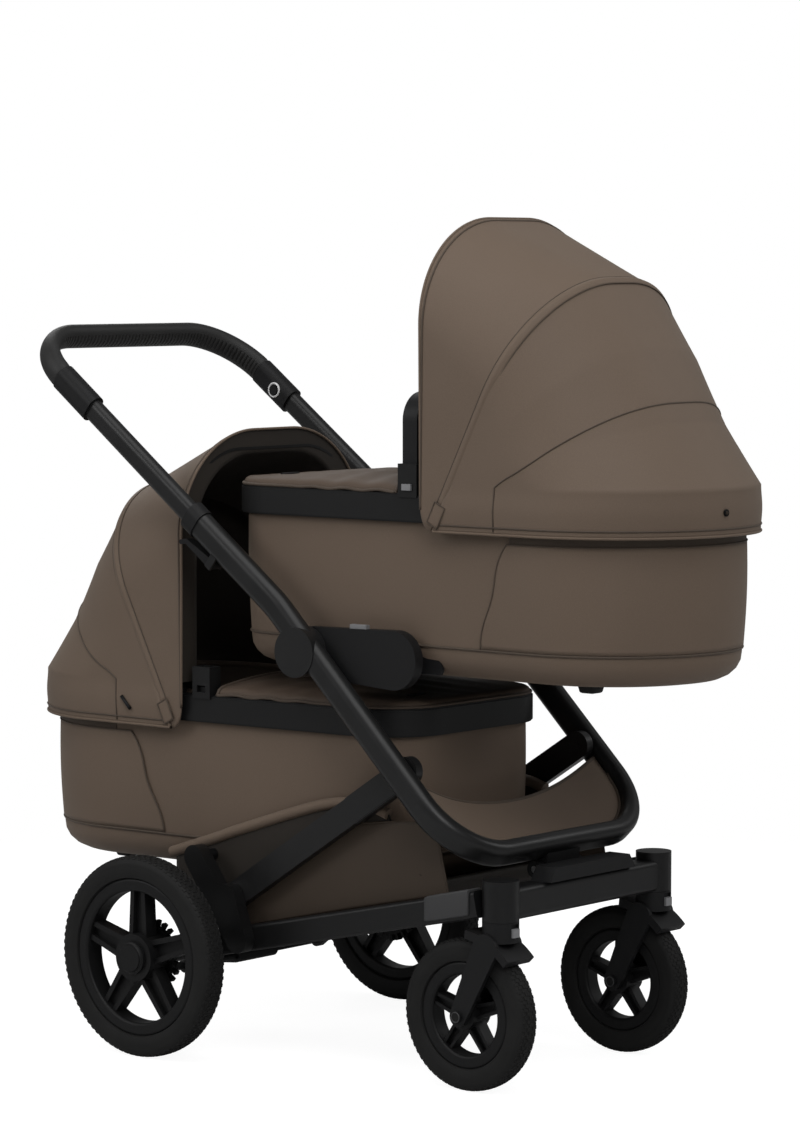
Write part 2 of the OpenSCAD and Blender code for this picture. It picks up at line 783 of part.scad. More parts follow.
module strut(left) {
    y1 = base_tube_y - stand_gap;
    sleeve_step = strut_t / 10;
    sleeve_at = along(strut_at, -strut_a, strut_l * 0.7, 0);
    color(black) on_left(left) difference() {
        union() {
            side(y1 - strut_t, y1) link(strut_at, strut_tip, strut_h / 2, strut_h / 2);
            side(y1 - strut_t, y1 - sleeve_step) link(sleeve_at, strut_tip, strut_h * 0.54, strut_h * 0.54);
        }
        cross_bar(strut_tip, strut_pin_d + 2 * run_gap, 0, rear_y);
    }
}

// Handle

module handle_path(w, h, wall, back) {
    for (s = [-1, 1]) translate([0, s * frame_y, 0]) upper_line()
        translate([-handle_reach + handle_r, 0, 0]) run(handle_reach - handle_r - back) oval_ring(w, h, wall);
    handle_bend(w, h, wall);
}

module handle_bend(w, h, wall) {
    upper_line() translate([-handle_reach + handle_r, 0, 0]) {
        for (s = [0, 1]) mirror([0, s, 0]) translate([0, frame_y - handle_r, 0])
            rotate([0, 0, 90]) rotate_extrude(angle = 90) translate([handle_r, 0]) oval_ring(w, h, wall);
        translate([-handle_r, frame_y - handle_r, 0]) rotate([90, 0, 0])
            linear_extrude(2 * (frame_y - handle_r)) oval_ring(w, h, wall);
    }
}

handle_wall = 2;
module handle_tube() {
    color(black) handle_path(handle_w, handle_h, handle_wall, -handle_in);
}

module handle_grip() {
    color("#1f1f21") handle_bend(handle_w + 2 * grip_t, handle_h + 2 * grip_t, grip_t - stand_gap / 5);
}

collar_t = 4.2;
push_d = 15;
push_far = 48;
module handle_collars() {
    color(black) for (s = [-1, 1]) difference() {
        translate([0, s * frame_y, 0]) upper_line() translate([-handle_reach + handle_r + stand_gap / 5, 0, 0])
            run(collar_l) oval_ring(handle_w + 2 * collar_t, handle_h + 2 * collar_t, collar_t - stand_gap / 5);
        handle_push(s, push_d + 2 * stand_gap, 4 * collar_t, 0);
    }
}

module handle_push(s, d, h, off) {
    y = s * (frame_y - handle_w / 2 - off);
    upper_line() translate([-handle_reach + handle_r + push_far, y, 0])
        rotate([s * 90, 0, 0]) cylinder(d = d, h = h);
}

module handle_button(left) {
    color(grey) handle_push(left ? 1 : -1, push_d, collar_t, button_push + stand_gap);
}

// Cots, with the foot end at -X

module cot_at(p, turned) {
    translate([p.x, 0, p.y]) mirror([turned ? 1 : 0, 0, 0]) children();
}

// Plan of a cot, drawn in by a distance
module cot_plan(in) {
    n = side_n;
    translate([head_x, 0]) circle(head_r - in);
    for (s = [-1, 1]) translate([foot_x, s * foot_y]) circle(cot_foot_r - in);
    polygon([
        [head_x, 0] + (head_r - in) * n, [foot_x, foot_y] + (cot_foot_r - in) * n,
        [foot_x - cot_foot_r + in, foot_y], [foot_x - cot_foot_r + in, -foot_y],
        [foot_x, -foot_y] + (cot_foot_r - in) * [n.x, -n.y], [head_x, 0] + (head_r - in) * [n.x, -n.y],
    ]);
}

module cot_rim() {
    lip = rim_band_t / 9;
    color(black) {
        translate([0, 0, -rim_band_h]) linear_extrude(rim_band_h) difference() {
            cot_plan(lip);
            cot_plan(rim_band_t - lip);
        }
        translate([0, 0, -rim_band_h + lip]) linear_extrude(rim_band_h - 2 * lip) difference() {
            cot_plan(0);
            cot_plan(rim_band_t);
        }
        for (s = [-1, 1]) {
            side(s * pod_y - pod_t / 2, s * pod_y + pod_t / 2) {
                translate([pivot_x, pivot_rise]) circle(pod_l / 2);
                translate([pivot_x - pod_l / 2, -pod_sunk]) square([pod_l, pivot_rise + pod_sunk]);
            }
            cross_bar([pivot_x, pivot_rise], pivot_d, s * (pod_y + pin_out / 2) - pin_out / 2, s * (pod_y + pin_out / 2) + pin_out / 2);
            carry_socket(s);
        }
    }
}
pod_y = 178;
pod_l = 34;
pod_t = 12;
pod_sunk = 9;
pivot_d = 8;
pin_out = 18;

module carry_socket(s) {
    gap = stand_gap;
    difference() {
        translate([socket_x - socket_w / 2, s * socket_y - socket_t / 2, -rim_band_h / 8])
            cube([socket_w, socket_t, socket_h + rim_band_h / 8]);
        translate([socket_x - carry_w / 2 - gap, s * socket_y - carry_t / 2 - gap, socket_h - carry_in])
            cube([carry_w + 2 * gap, carry_t + 2 * gap, socket_h]);
        translate([socket_x - carry_push_l / 2 - gap, s * socket_y + s * socket_t / 2 - carry_push_t, carry_push_z - gap])
            cube([carry_push_l + 2 * gap, 2 * carry_push_t, carry_push_h + 2 * gap]);
    }
}
carry_push_l = 16;
carry_push_h = 9;
carry_push_t = 6;
carry_push_z = 5;

// Point of a cot's plan, drawn in by a distance, at a step of the way round
head_steps = 20;
corner_steps = 8;
function plan_ring(in) = concat(
    [for (k = [0 : head_steps]) let (a = mix(-side_turn, side_turn, k / head_steps))
        [head_x + (head_r - in) * cos(a), (head_r - in) * sin(a)]],
    [for (k = [0 : corner_steps]) let (a = mix(side_turn, 180, k / corner_steps))
        [foot_x + (cot_foot_r - in) * cos(a), foot_y + (cot_foot_r - in) * sin(a)]],
    [for (k = [0 : corner_steps]) let (a = mix(180, 360 - side_turn, k / corner_steps))
        [foot_x + (cot_foot_r - in) * cos(a), -foot_y + (cot_foot_r - in) * sin(a)]]);
function at_height(ring, z) = [for (q = ring) [q.x, q.y, z]];

// Cloth wall of a cot, drawn in towards a rounded lower edge
module cot_tub() {
    turn = [0, 30, 60, 90];
    out_in = concat([tub_top_in, (tub_top_in + tub_low_in) / 2],
        [for (a = turn) tub_low_in + tub_corner * (1 - cos(a))]);
    out_z = concat([-rim_band_h, -(rim_band_h + cot_d) / 2],
        [for (a = turn) -cot_d + tub_corner * (1 - sin(a))]);
    in_in = concat([for (k = [0, 1]) out_in[k] + tub_t],
        [for (a = turn) tub_low_in + tub_corner - (tub_corner - tub_t) * cos(a)]);
    in_z = concat([out_z[0], out_z[1]],
        [for (a = turn) -cot_d + tub_corner - (tub_corner - tub_t) * sin(a)]);
    n = len(out_in) - 1;
    rings = concat(
        [for (k = [0 : n]) at_height(plan_ring(out_in[k]), out_z[k])],
        [for (k = [n : -1 : 0]) at_height(plan_ring(in_in[k]), in_z[k])]);
    color(cloth) hoop(rings);
}

// Closed solid from rings of points that lie one inside the next, the last joined to the first
module hoop(rings) {
    m = len(rings);
    n = len(rings[0]);
    points = [for (r = rings) each r];
    faces = [for (j = [0 : m - 1], i = [0 : n - 1]) let (
            a = j * n + i, b = j * n + (i + 1) % n,
            c = ((j + 1) % m) * n + i, d = ((j + 1) % m) * n + (i + 1) % n)
        each [[a, b, c], [b, d, c]]];
    polyhedron(points, faces);
}

board_in = tub_low_in + tub_corner + 2 * stand_gap;
foot_pad_d = 22;
foot_pad_h = 8;
foot_pad_shares = [[-0.62, 0.55], [-0.62, -0.55], [0.58, 0.5], [0.58, -0.5]];
module cot_base() {
    color(black) {
        translate([0, 0, -cot_d]) linear_extrude(base_h) cot_plan(board_in);
        translate([0, 0, -cot_d - base_drop]) linear_extrude(base_drop - stand_gap) cot_plan(board_in);
        translate([0, 0, -cot_d - base_drop]) linear_extrude(base_drop + base_h) cot_plan(board_in + base_h);
        for (q = foot_pad_shares)
            translate([q.x * cot_l / 2, q.y * cot_foot_w / 2, -cot_d - base_drop - foot_pad_h])
                cylinder(d = foot_pad_d, h = foot_pad_h + base_drop);
        for (s = [-1, 1]) cot_bracket(s);
    }
}

// Side bracket of a cot, hooked over the carrier's stub from above
module cot_bracket(s) {
    eye = [bracket_x, bracket_up - cot_d];
    low = -cot_d - base_drop;
    hole_r = bracket_d / 2 + stand_gap;
    slack = bracket_d / 2;
    y = s * (bracket_y - bracket_t / 2);
    difference() {
        union() {
            side(y - bracket_t / 2, y + bracket_t / 2) difference() {
                link(eye, eye + [bracket_r * 1.6, -bracket_r / 3], bracket_r, bracket_r / 2);
                translate([-cot_l, low - cot_l]) square([2 * cot_l, cot_l]);
            }
            translate([bracket_x - bracket_r, min(s * bracket_y, s * bracket_in), low])
                cube([2 * bracket_r, bracket_y - bracket_in, base_drop - stand_gap]);
        }
        cross_bar(eye, 2 * hole_r, -cot_w, cot_w);
        side(-cot_w, cot_w) polygon([
            eye - [hole_r, 0], eye + [hole_r, 0],
            [eye.x + hole_r + slack, low - cut], [eye.x - hole_r - slack, low - cut],
        ]);
    }
}
bracket_in = 120;

// Soft pad: the plan raised, its top cut to a crown both ways by two large rollers
module crowned(x, h, across_r, along_r) {
    intersection() {
        linear_extrude(h) children();
        translate([x, 0, h - across_r]) rotate([0, 90, 0]) cylinder(r = across_r, h = 2 * cot_l, center = true, $fn = 720);
        translate([x, 0, h - along_r]) rotate([90, 0, 0]) cylinder(r = along_r, h = 2 * cot_w, center = true, $fn = 720);
    }
}

mattress_in = 40;
mattress_across = 1500;
mattress_along = 6000;
module mattress() {
    color("#d8d4cc") translate([0, 0, -cot_d + base_h + stand_gap])
        crowned(0, mattress_t, mattress_across, mattress_along) cot_plan(mattress_in);
}

apron_in = 3;
apron_end = -46;
apron_h = 20;
apron_across = 1400;
apron_along = 3400;
module apron() {
    color(cloth) translate([0, 0, stand_gap])
        crowned(apron_end - cot_l / 6, apron_h, apron_across, apron_along) difference() {
            cot_plan(apron_in);
            translate([apron_end, -cot_w]) square([cot_l, 2 * cot_w]);
        }
}

// Hoods: arches that fan out from the two pivots

hood_gap = 1.5;
hood_w = cot_w / 2 + hood_gap + hood_t;
fan_start = 14;
fan_n = 28;
hem_drop = 64;
seam_a = 17;
seam_r = 299;
seam_shoulder_r = 182;
end_r = cot_l / 2 - pivot_x + hood_gap + hood_t;
front_lap_a = 1.5;
panel_gap_a = 0.5;

// Point of an arch, from one pivot over the top to the other, as [side, height]
function arch(t, w, h, r) =
    let (leg = h - r - fan_start, bend = 90 * r * PI / 180, top = 2 * (w - r), all = 2 * leg + 2 * bend + top, d = t * all)
    d <= leg ? [-w, fan_start + d]
    : d <= leg + bend ? let (a = (d - leg) / r * 180 / PI) [-w + r - r * cos(a), h - r + r * sin(a)]
    : d <= leg + bend + top ? [-w + r + d - leg - bend, h]
    : d <= leg + 2 * bend + top ? let (a = (d - leg - bend - top) / r * 180 / PI) [w - r + r * sin(a), h - r + r * cos(a)]
    : [w, h - r - (d - leg - 2 * bend - top)];

// Ring of the hood at an angle: height over the pivots and shoulder radius follow the bows
function mix(a, b, t) = a + (b - a) * t;
function ring_h(a) =
    a >= mid_bow_a ? mix(mid_bow_r, front_bow_r, (a - mid_bow_a) / (front_bow_a - mid_bow_a))
    : a >= seam_a ? mix(seam_r, mid_bow_r, (a - seam_a) / (mid_bow_a - seam_a))
    : mix(end_r, seam_r, a / seam_a);
function ring_shoulder(a) =
    a >= mid_bow_a ? mix(mid_shoulder_r, shoulder_r, (a - mid_bow_a) / (front_bow_a - mid_bow_a))
    : a >= seam_a ? mix(seam_shoulder_r, mid_shoulder_r, (a - seam_a) / (mid_bow_a - seam_a))
    : mix(hood_w - 2 * hood_t, seam_shoulder_r, max(0, a / seam_a));
function ring(a, in) = [for (i = [0 : fan_n])
    let (q = arch(i / fan_n, hood_w - in, ring_h(a) - in, ring_shoulder(a) - in))
    [pivot_x + q.y * cos(a), q.x, pivot_rise + q.y * sin(a)]];
function hem(in) = [for (q = ring(0, in)) [q.x, q.y, pivot_rise - hem_drop]];

module hood_front() {
    angles = [front_bow_a + front_lap_a, mid_bow_a + panel_gap_a];
    color(cloth) shell([for (a = angles) ring(a, 0)], [for (a = angles) ring(a, hood_t)]);
}

module hood_rear() {
    angles = [mid_bow_a - panel_gap_a, seam_a, 0];
    color(cloth) shell(
        concat([for (a = angles) ring(a, 0)], [hem(0)]),
        concat([for (a = angles) ring(a, hood_t)], [hem(hood_t)]));
}

// Bow strip with a lug on each pivot pin
lug_r = 13;
bow_inset = 10;
bow_sunk = 5;
front_sunk = 14;
module hood_bow(a, h, w, shoulder) {
    r = shoulder - bow_inset;
    low = lug_r - bow_t / 2;
    color(black) translate([pivot_x, 0, pivot_rise]) rotate([0, 90 - a, 0]) difference() {
        union() {
            translate([-bow_strip_w / 2, 0, 0]) run(bow_strip_w) difference() {
                bow_outline(h, w, r, low);
                bow_outline(h - bow_t, w - bow_t, r - bow_t, low - cut);
            }
            for (s = [-1, 1])
                cross_bar([0, 0], 2 * lug_r, s * (w - bow_t / 2) - bow_t / 2, s * (w - bow_t / 2) + bow_t / 2);
        }
        cross_bar([0, 0], pivot_d + 2 * run_gap, -cot_w, cot_w);
    }
}

module bow_outline(h, w, r, low) {
    intersection() {
        translate([-w, low]) square([2 * w, h - low]);
        union() {
            translate([-w, low]) square([2 * w, h - r - low]);
            translate([-w + r, low]) square([2 * (w - r), h - low]);
            for (s = [-1, 1]) translate([s * (w - r), h - r]) circle(r);
        }
    }
}

mid_bow_w = pod_y + pod_t / 2 + stand_gap + bow_t;
front_bow_w = mid_bow_w + stand_gap + bow_t;
module hood_mid_bow() {
    hood_bow(mid_bow_a, mid_bow_r - hood_t - bow_sunk, mid_bow_w, mid_shoulder_r);
}

module hood_front_bow() {
    hood_bow(front_bow_a, front_bow_r - hood_t - front_sunk, front_bow_w, shoulder_r);
}

// Carry handle of the upper cot and its two release buttons

carry_r = 40;
module carry_handle() {
    low = socket_h - carry_in + stand_gap;
    w = socket_y + carry_t / 2;
    h = socket_h + carry_h;
    color(black) translate([socket_x - carry_w / 2, 0, 0]) run(carry_w) difference() {
        bow_outline(h, w, carry_r, low);
        bow_outline(h - carry_t, w - carry_t, carry_r - carry_t, low - cut);
    }
}

module carry_button(left) {
    color(grey) on_left(left)
        translate([socket_x - carry_push_l / 2, socket_y + socket_t / 2 - carry_push_t + button_push + stand_gap, carry_push_z])
            cube([carry_push_l, carry_push_t, carry_push_h]);
}

front_beam();
pivot_cover();
fold_pin();
rear_axle_beam();
rear_axle_shaft();
base_tube(true);  // base_tube_left
base_tube(false);  // base_tube_right
rear_upright(true);  // rear_upright_left
rear_upright(false);  // rear_upright_right
basket();
brake_pedal();
main_frame();
frame_collars();
footrest();
adapter_arm(true);  // adapter_arm_left
adapter_arm(false);  // adapter_arm_right
adapter_button(true);  // adapter_button_left
adapter_button(false);  // adapter_button_right
fold_lever(true);  // fold_lever_left
fold_lever(false);  // fold_lever_right
strut(true);  // strut_left
strut(false);  // strut_right
handle_tube();
handle_grip();
handle_collars();
handle_button(true);  // handle_button_left
handle_button(false);  // handle_button_right
fork(true);  // fork_left
fork(false);  // fork_right
swivel_lock(true);  // swivel_lock_left
swivel_lock(false);  // swivel_lock_right
front_wheel(true) tyre(front_r, front_tyre_w);  // front_tyre_left
front_wheel(false) tyre(front_r, front_tyre_w);  // front_tyre_right
front_wheel(true) rim(front_r, front_tyre_w, bolt_d);  // front_rim_left
front_wheel(false) rim(front_r, front_tyre_w, bolt_d);  // front_rim_right
rear_wheel(true) tyre(rear_r, rear_tyre_w);  // rear_tyre_left
rear_wheel(false) tyre(rear_r, rear_tyre_w);  // rear_tyre_right
rear_wheel(true) rear_rim();  // rear_rim_left
rear_wheel(false) rear_rim();  // rear_rim_right
cot_at(upper_at, false) cot_rim();  // upper_cot_rim
cot_at(upper_at, false) cot_tub();  // upper_cot_tub
cot_at(upper_at, false) cot_base();  // upper_cot_base
cot_at(upper_at, false) mattress();  // upper_mattress
cot_at(upper_at, false) apron();  // upper_apron
cot_at(upper_at, false) hood_front_bow();  // upper_hood_front_bow
cot_at(upper_at, false) hood_mid_bow();  // upper_hood_mid_bow
cot_at(upper_at, false) hood_front();  // upper_hood_front
cot_at(upper_at, false) hood_rear();  // upper_hood_rear
cot_at(lower_at, true) cot_rim();  // lower_cot_rim
cot_at(lower_at, true) cot_tub();  // lower_cot_tub
cot_at(lower_at, true) cot_base();  // lower_cot_base
cot_at(lower_at, true) mattress();  // lower_mattress
cot_at(lower_at, true) apron();  // lower_apron
cot_at(lower_at, true) hood_front_bow();  // lower_hood_front_bow
cot_at(lower_at, true) hood_mid_bow();  // lower_hood_mid_bow
cot_at(lower_at, true) hood_front();  // lower_hood_front
cot_at(lower_at, true) hood_rear();  // lower_hood_rear
cot_at(upper_at, false) carry_handle();
cot_at(upper_at, false) carry_button(true);  // carry_button_left
cot_at(upper_at, false) carry_button(false);  // carry_button_right
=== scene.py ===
from math import atan2, ceil, cos, hypot, pi, radians, sin, sqrt

import bmesh
import bpy
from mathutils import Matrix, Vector


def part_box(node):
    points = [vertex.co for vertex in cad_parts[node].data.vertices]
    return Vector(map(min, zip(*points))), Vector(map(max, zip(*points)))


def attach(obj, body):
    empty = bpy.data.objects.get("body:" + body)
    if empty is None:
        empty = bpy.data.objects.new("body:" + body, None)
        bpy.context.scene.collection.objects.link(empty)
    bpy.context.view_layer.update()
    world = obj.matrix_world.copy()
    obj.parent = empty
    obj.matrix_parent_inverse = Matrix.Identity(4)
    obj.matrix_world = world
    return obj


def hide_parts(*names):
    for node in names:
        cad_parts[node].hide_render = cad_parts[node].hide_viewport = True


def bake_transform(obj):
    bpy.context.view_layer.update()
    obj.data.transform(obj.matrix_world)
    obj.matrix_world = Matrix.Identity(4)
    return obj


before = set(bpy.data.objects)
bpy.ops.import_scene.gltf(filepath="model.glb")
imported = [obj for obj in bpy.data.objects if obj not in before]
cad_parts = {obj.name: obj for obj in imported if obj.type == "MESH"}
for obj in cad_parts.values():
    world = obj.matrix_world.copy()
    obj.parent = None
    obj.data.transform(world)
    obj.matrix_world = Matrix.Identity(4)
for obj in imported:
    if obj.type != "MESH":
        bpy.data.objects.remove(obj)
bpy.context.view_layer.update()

scene = bpy.context.scene
scene.view_settings.view_transform = "Standard"

# Camera: a long lens nearly six metres away, a little lower than the top of the upper hood.
# It looks at the right front corner of the pram, as the photograph does.
camera = bpy.data.objects.new("camera", bpy.data.cameras.new("camera"))
scene.collection.objects.link(camera)
camera.location = (3.7131, -4.4652, 1.1518)
camera.rotation_euler = (radians(85.638), 0, radians(39.572))
camera.data.lens = 125.96
camera.data.sensor_width = 36
camera.data.clip_end = 60
scene.camera = camera


# Studio: white paper on the floor, under a large softbox overhead and four smaller ones round the pram.
# The paper looks white to the camera and still takes the pram's shadow.
class Value:
    """A shader socket that can stand in a sum."""

    def __init__(self, look, socket):
        self.look, self.socket = look, socket

    def maths(self, operation, *terms):
        return self.look.node("ShaderNodeMath", {"operation": operation}, dict(enumerate(terms)))

    def __add__(self, other):
        return self.maths("ADD", self, other)

    def __sub__(self, other):
        return self.maths("SUBTRACT", self, other)

    def __mul__(self, other):
        return self.maths("MULTIPLY", self, other)

    def __lt__(self, other):
        return self.maths("LESS_THAN", self, other)

    def __abs__(self):
        return self.maths("ABSOLUTE", self)

    def wave(self, pitch):
        return self.maths("SINE", self * (2 * pi / pitch))


class Look:
    """A finish while it is being made: node() adds a node, sets it, then fills or joins its sockets."""

    def __init__(self, name, holder=None):
        self.holder = holder or bpy.data.materials.new(name)
        self.holder.use_nodes = True
        self.tree = self.holder.node_tree

    def fill(self, socket, value):
        if isinstance(value, Value):
            self.tree.links.new(value.socket, socket)
        else:
            socket.default_value = value

    def node(self, kind, settings=(), sockets=(), out=0):
        made = self.tree.nodes.new(kind)
        for key, value in dict(settings).items():
            setattr(made, key, value)
        for key, value in dict(sockets).items():
            self.fill(made.inputs[key], value)
        return Value(self, made.outputs[out])

    def tint(self, share, low, high):
        return self.node("ShaderNodeMix", {"data_type": "RGBA"}, {0: share, 6: low, 7: high}, out=2)

    def surface(self, sockets):
        for key, value in sockets.items():
            self.fill(self.tree.nodes["Principled BSDF"].inputs[key], value)
        return self.holder

    def seen(self):
        return self.node("ShaderNodeLightPath", out="Is Camera Ray")


floor_bm = bmesh.new()
bmesh.ops.create_grid(floor_bm, x_segments=4, y_segments=4, size=9)
floor_mesh = bpy.data.meshes.new("paper_floor")
floor_bm.to_mesh(floor_mesh)
floor_bm.free()
paper_floor = bpy.data.objects.new("paper_floor", floor_mesh)
scene.collection.objects.link(paper_floor)
paper = Look("white_paper")
fibre = paper.node("ShaderNodeTexNoise", (), {"Scale": 300.0})
paper.surface({
    "Base Color": paper.tint(fibre, (0.52, 0.52, 0.52, 1), (0.58, 0.58, 0.58, 1)),
    "Roughness": 0.9,
})
from_pram = paper.node("ShaderNodeTexCoord", out="Object")
away = paper.node("ShaderNodeVectorMath", {"operation": "LENGTH"}, {0: from_pram}, out="Value")
far = paper.node("ShaderNodeMapRange", (), {"Value": away, "From Min": 0.8, "From Max": 2.2})
glow = paper.node("ShaderNodeEmission", (), {"Color": paper.tint(far, (1.55, 1.55, 1.55, 1), (1, 1, 1, 1))})
matt = Value(paper, paper.tree.nodes["Principled BSDF"].outputs[0])
shown = paper.node("ShaderNodeMixShader", (), {0: paper.seen() * (far * 0.4 + 0.6), 1: matt, 2: glow})
paper.tree.links.new(shown.socket, paper.tree.nodes["Material Output"].inputs["Surface"])
floor_mesh.materials.append(paper.holder)

room_fill = 0.19
room = Look("room", bpy.data.worlds.new("room"))
scene.world = room.holder
background = room.tree.nodes["Background"]
background.inputs["Color"].default_value = (1, 1, 1, 1)
room.fill(background.inputs["Strength"], room.seen() * (1 - room_fill) + room_fill)

lit_spot = Vector((0, 0, 0.65))
for lamp_name, lamp_at, lamp_size, lamp_power in (
        ("overhead_softbox", (0.7, -1.3, 3.6), 3.0, 66.0),
        ("side_softbox", (3.4, -2.2, 3.0), 1.8, 56.0),
        ("left_softbox", (-2.4, -3.2, 2.6), 1.8, 48.0),
        ("back_softbox", (-2.6, 1.6, 2.6), 1.6, 18.0),
        ("edge_softbox", (2.6, 2.6, 2.8), 1.6, 30.0)):
    lamp = bpy.data.objects.new(lamp_name, bpy.data.lights.new(lamp_name, "AREA"))
    scene.collection.objects.link(lamp)
    lamp.data.size = lamp_size
    lamp.data.energy = lamp_power
    lamp.location = lamp_at
    lamp.rotation_euler = (lit_spot - Vector(lamp_at)).to_track_quat("-Z", "Y").to_euler()


# Chassis tubes, beams, uprights and struts: drawn aluminium with a matt black powder coat.
# The coat has a faint orange peel, and a slight haze from handling.
def powder_coat(name, colour, rough):
    coat = Look(name)
    spot = coat.node("ShaderNodeTexCoord", out="Object")
    haze = coat.node("ShaderNodeTexNoise", (), {"Vector": spot, "Scale": 14.0, "Detail": 5.0})
    peel = coat.node("ShaderNodeTexNoise", (), {"Vector": spot, "Scale": 900.0, "Detail": 2.0})
    light = tuple(1.5 * c for c in colour)
    return coat.surface({
        "Base Color": coat.tint(haze, (*colour, 1), (*light, 1)),
        "Roughness": haze * 0.16 + rough,
        "Specular IOR Level": 0.30,
        "Normal": coat.node("ShaderNodeBump", (), {"Strength": 0.12, "Distance": 0.0004, "Height": peel}),
    })


def dress(look, *nodes):
    for name in nodes:
        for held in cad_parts[name].material_slots:
            held.material = look


frame_black = powder_coat("frame_black", (0.0080, 0.0080, 0.0082), 0.28)
# The beams, base tubes and rear uprights take a darker copy of the same coat: painted shade for the low parts
# of the chassis.
shaded_base_black = powder_coat("shaded_base_black", (0.0036, 0.0036, 0.0038), 0.34)
dress(frame_black, "strut_left", "strut_right")
dress(
    shaded_base_black, "front_beam", "rear_axle_beam", "base_tube_left", "base_tube_right", "rear_upright_left",
    "rear_upright_right")


# Moulded fittings: the hinge cover, forks, brake, levers, collars and cot carriers, in glass-filled nylon.
# The mould is spark-eroded, so the faces are finely grained and a little duller than the tubes.
def moulded(name, colour, rough, grain, gloss=0.20):
    nylon = Look(name)
    spot = nylon.node("ShaderNodeTexCoord", out="Object")
    flow = nylon.node("ShaderNodeTexNoise", (), {"Vector": spot, "Scale": 9.0, "Detail": 3.0})
    pits = nylon.node("ShaderNodeTexVoronoi", {"feature": "SMOOTH_F1"}, {"Vector": spot, "Scale": grain})
    light = tuple(1.35 * c for c in colour)
    return nylon.surface({
        "Base Color": nylon.tint(flow, (*colour, 1), (*light, 1)),
        "Roughness": flow * 0.1 + pits * 0.1 + rough,
        "Specular IOR Level": gloss,
        "Normal": nylon.node("ShaderNodeBump", (), {"Strength": 0.15, "Distance": 0.0003, "Height": pits}),
    })


plastic_black = moulded("plastic_black", (0.0066, 0.0066, 0.0070), 0.42, 1500.0)
button_grey = moulded("button_grey", (0.16, 0.16, 0.165), 0.38, 1800.0, 0.45)
steel = Look("steel")
brushed = steel.node(
    "ShaderNodeTexNoise", (), {"Vector": steel.node("ShaderNodeTexCoord", out="Object"), "Scale": 420.0})
steel = steel.surface({
    "Base Color": (0.42, 0.42, 0.43, 1), "Metallic": 1.0, "Roughness": brushed * 0.2 + 0.22})
# The ring is real, but its light grey stands in for the shine of polished metal: painted reflection.
ring_painted_shine = moulded("ring_painted_shine", (0.55, 0.55, 0.55), 0.25, 1800.0, 0.5)
dress(
    plastic_black, "pivot_cover", "fork_left", "fork_right", "brake_pedal", "frame_collars", "handle_collars",
    "adapter_arm_left", "adapter_arm_right", "fold_lever_left", "fold_lever_right")
dress(button_grey, "swivel_lock_left", "swivel_lock_right", "adapter_button_left", "adapter_button_right")
dress(steel, "fold_pin", "rear_axle_shaft")


# Wheels: five spokes moulded with the rim, and a foamed tyre with fine blocks all over its tread.
# The tyre is cast in a ring and stretched over the rim, where a bead on each side holds it.
def new_piece(name, bm, looks):
    mesh = bpy.data.meshes.new(name)
    bm.to_mesh(mesh)
    bm.free()
    mesh.shade_smooth()
    for look in looks:
        mesh.materials.append(look)
    made = bpy.data.objects.new(name, mesh)
    scene.collection.objects.link(made)
    return made


def rubber_look():
    rubber = Look("tyre_black")
    spot = rubber.node("ShaderNodeTexCoord", out="Object")
    dust = rubber.node("ShaderNodeTexNoise", (), {"Vector": spot, "Scale": 26.0, "Detail": 6.0})
    skin = rubber.node("ShaderNodeTexNoise", (), {"Vector": spot, "Scale": 1400.0})
    return rubber.surface({
        "Base Color": rubber.tint(dust, (0.009, 0.009, 0.009, 1), (0.017, 0.0168, 0.0164, 1)),
        "Roughness": dust * 0.15 + 0.55,
        "Specular IOR Level": 0.14,
        "Normal": rubber.node("ShaderNodeBump", (), {"Strength": 0.2, "Distance": 0.0003, "Height": skin}),
    })


tyre_black = rubber_look()
rim_black = moulded("rim_black", (0.0052, 0.0052, 0.0054), 0.40, 1100.0)
tyre_depth, tread_share = 0.032, 0.14
block_rise, block_edge, block_row = 0.0011, 0.0006, 0.1


def tyre(node, body, blocks):
    low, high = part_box(node)
    middle, width, crown = (low + high) / 2, high.y - low.y, (high.z - low.z) / 2 - block_rise
    section = [
        (1.00, -0.34), (0.94, -0.44), (0.72, -0.495), (0.48, -0.50), (0.40, -0.485), (0.36, -0.49),
        (0.22, -0.46), (0.11, -0.40), (0.05, -0.32), (0.02, -0.22), (0.004, -0.11), (0.0, 0.0)]
    section += [(deep, -side) for deep, side in reversed(section[:-1])]
    bm = bmesh.new()
    ring = [bm.verts.new((crown - deep * tyre_depth, side * width, 0)) for deep, side in section]
    edges = [bm.edges.new((a, b)) for a, b in zip(ring, ring[1:] + ring[:1])]
    bmesh.ops.spin(
        bm, geom=ring + edges, cent=(0, 0, 0), axis=(0, 1, 0), angle=2 * pi, steps=blocks, use_merge=True)
    bmesh.ops.remove_doubles(bm, verts=bm.verts, dist=1e-6)
    bmesh.ops.recalc_face_normals(bm, faces=bm.faces)
    knobs = []
    for face in bm.faces:
        at = face.calc_center_median()
        row = round(at.y / width / block_row)
        column = round(atan2(at.z, at.x) / (2 * pi) * blocks - 0.5)
        if hypot(at.x, at.z) > crown - tread_share * tyre_depth and (row + column) % 2 == 0:
            knobs.append(face)
    bmesh.ops.inset_individual(bm, faces=knobs, thickness=block_edge, depth=block_rise)
    bmesh.ops.translate(bm, verts=bm.verts, vec=middle)
    made = new_piece(node + "_tread", bm, [tyre_black])
    made.data.set_sharp_from_angle(angle=radians(38))
    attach(made, body)
    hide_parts(node)


for hand in ("left", "right"):
    tyre(f"front_tyre_{hand}", f"front_wheel_{hand}", 124)
    tyre(f"rear_tyre_{hand}", f"rear_wheel_{hand}", 168)
    dress(rim_black, f"front_rim_{hand}", f"rear_rim_{hand}")


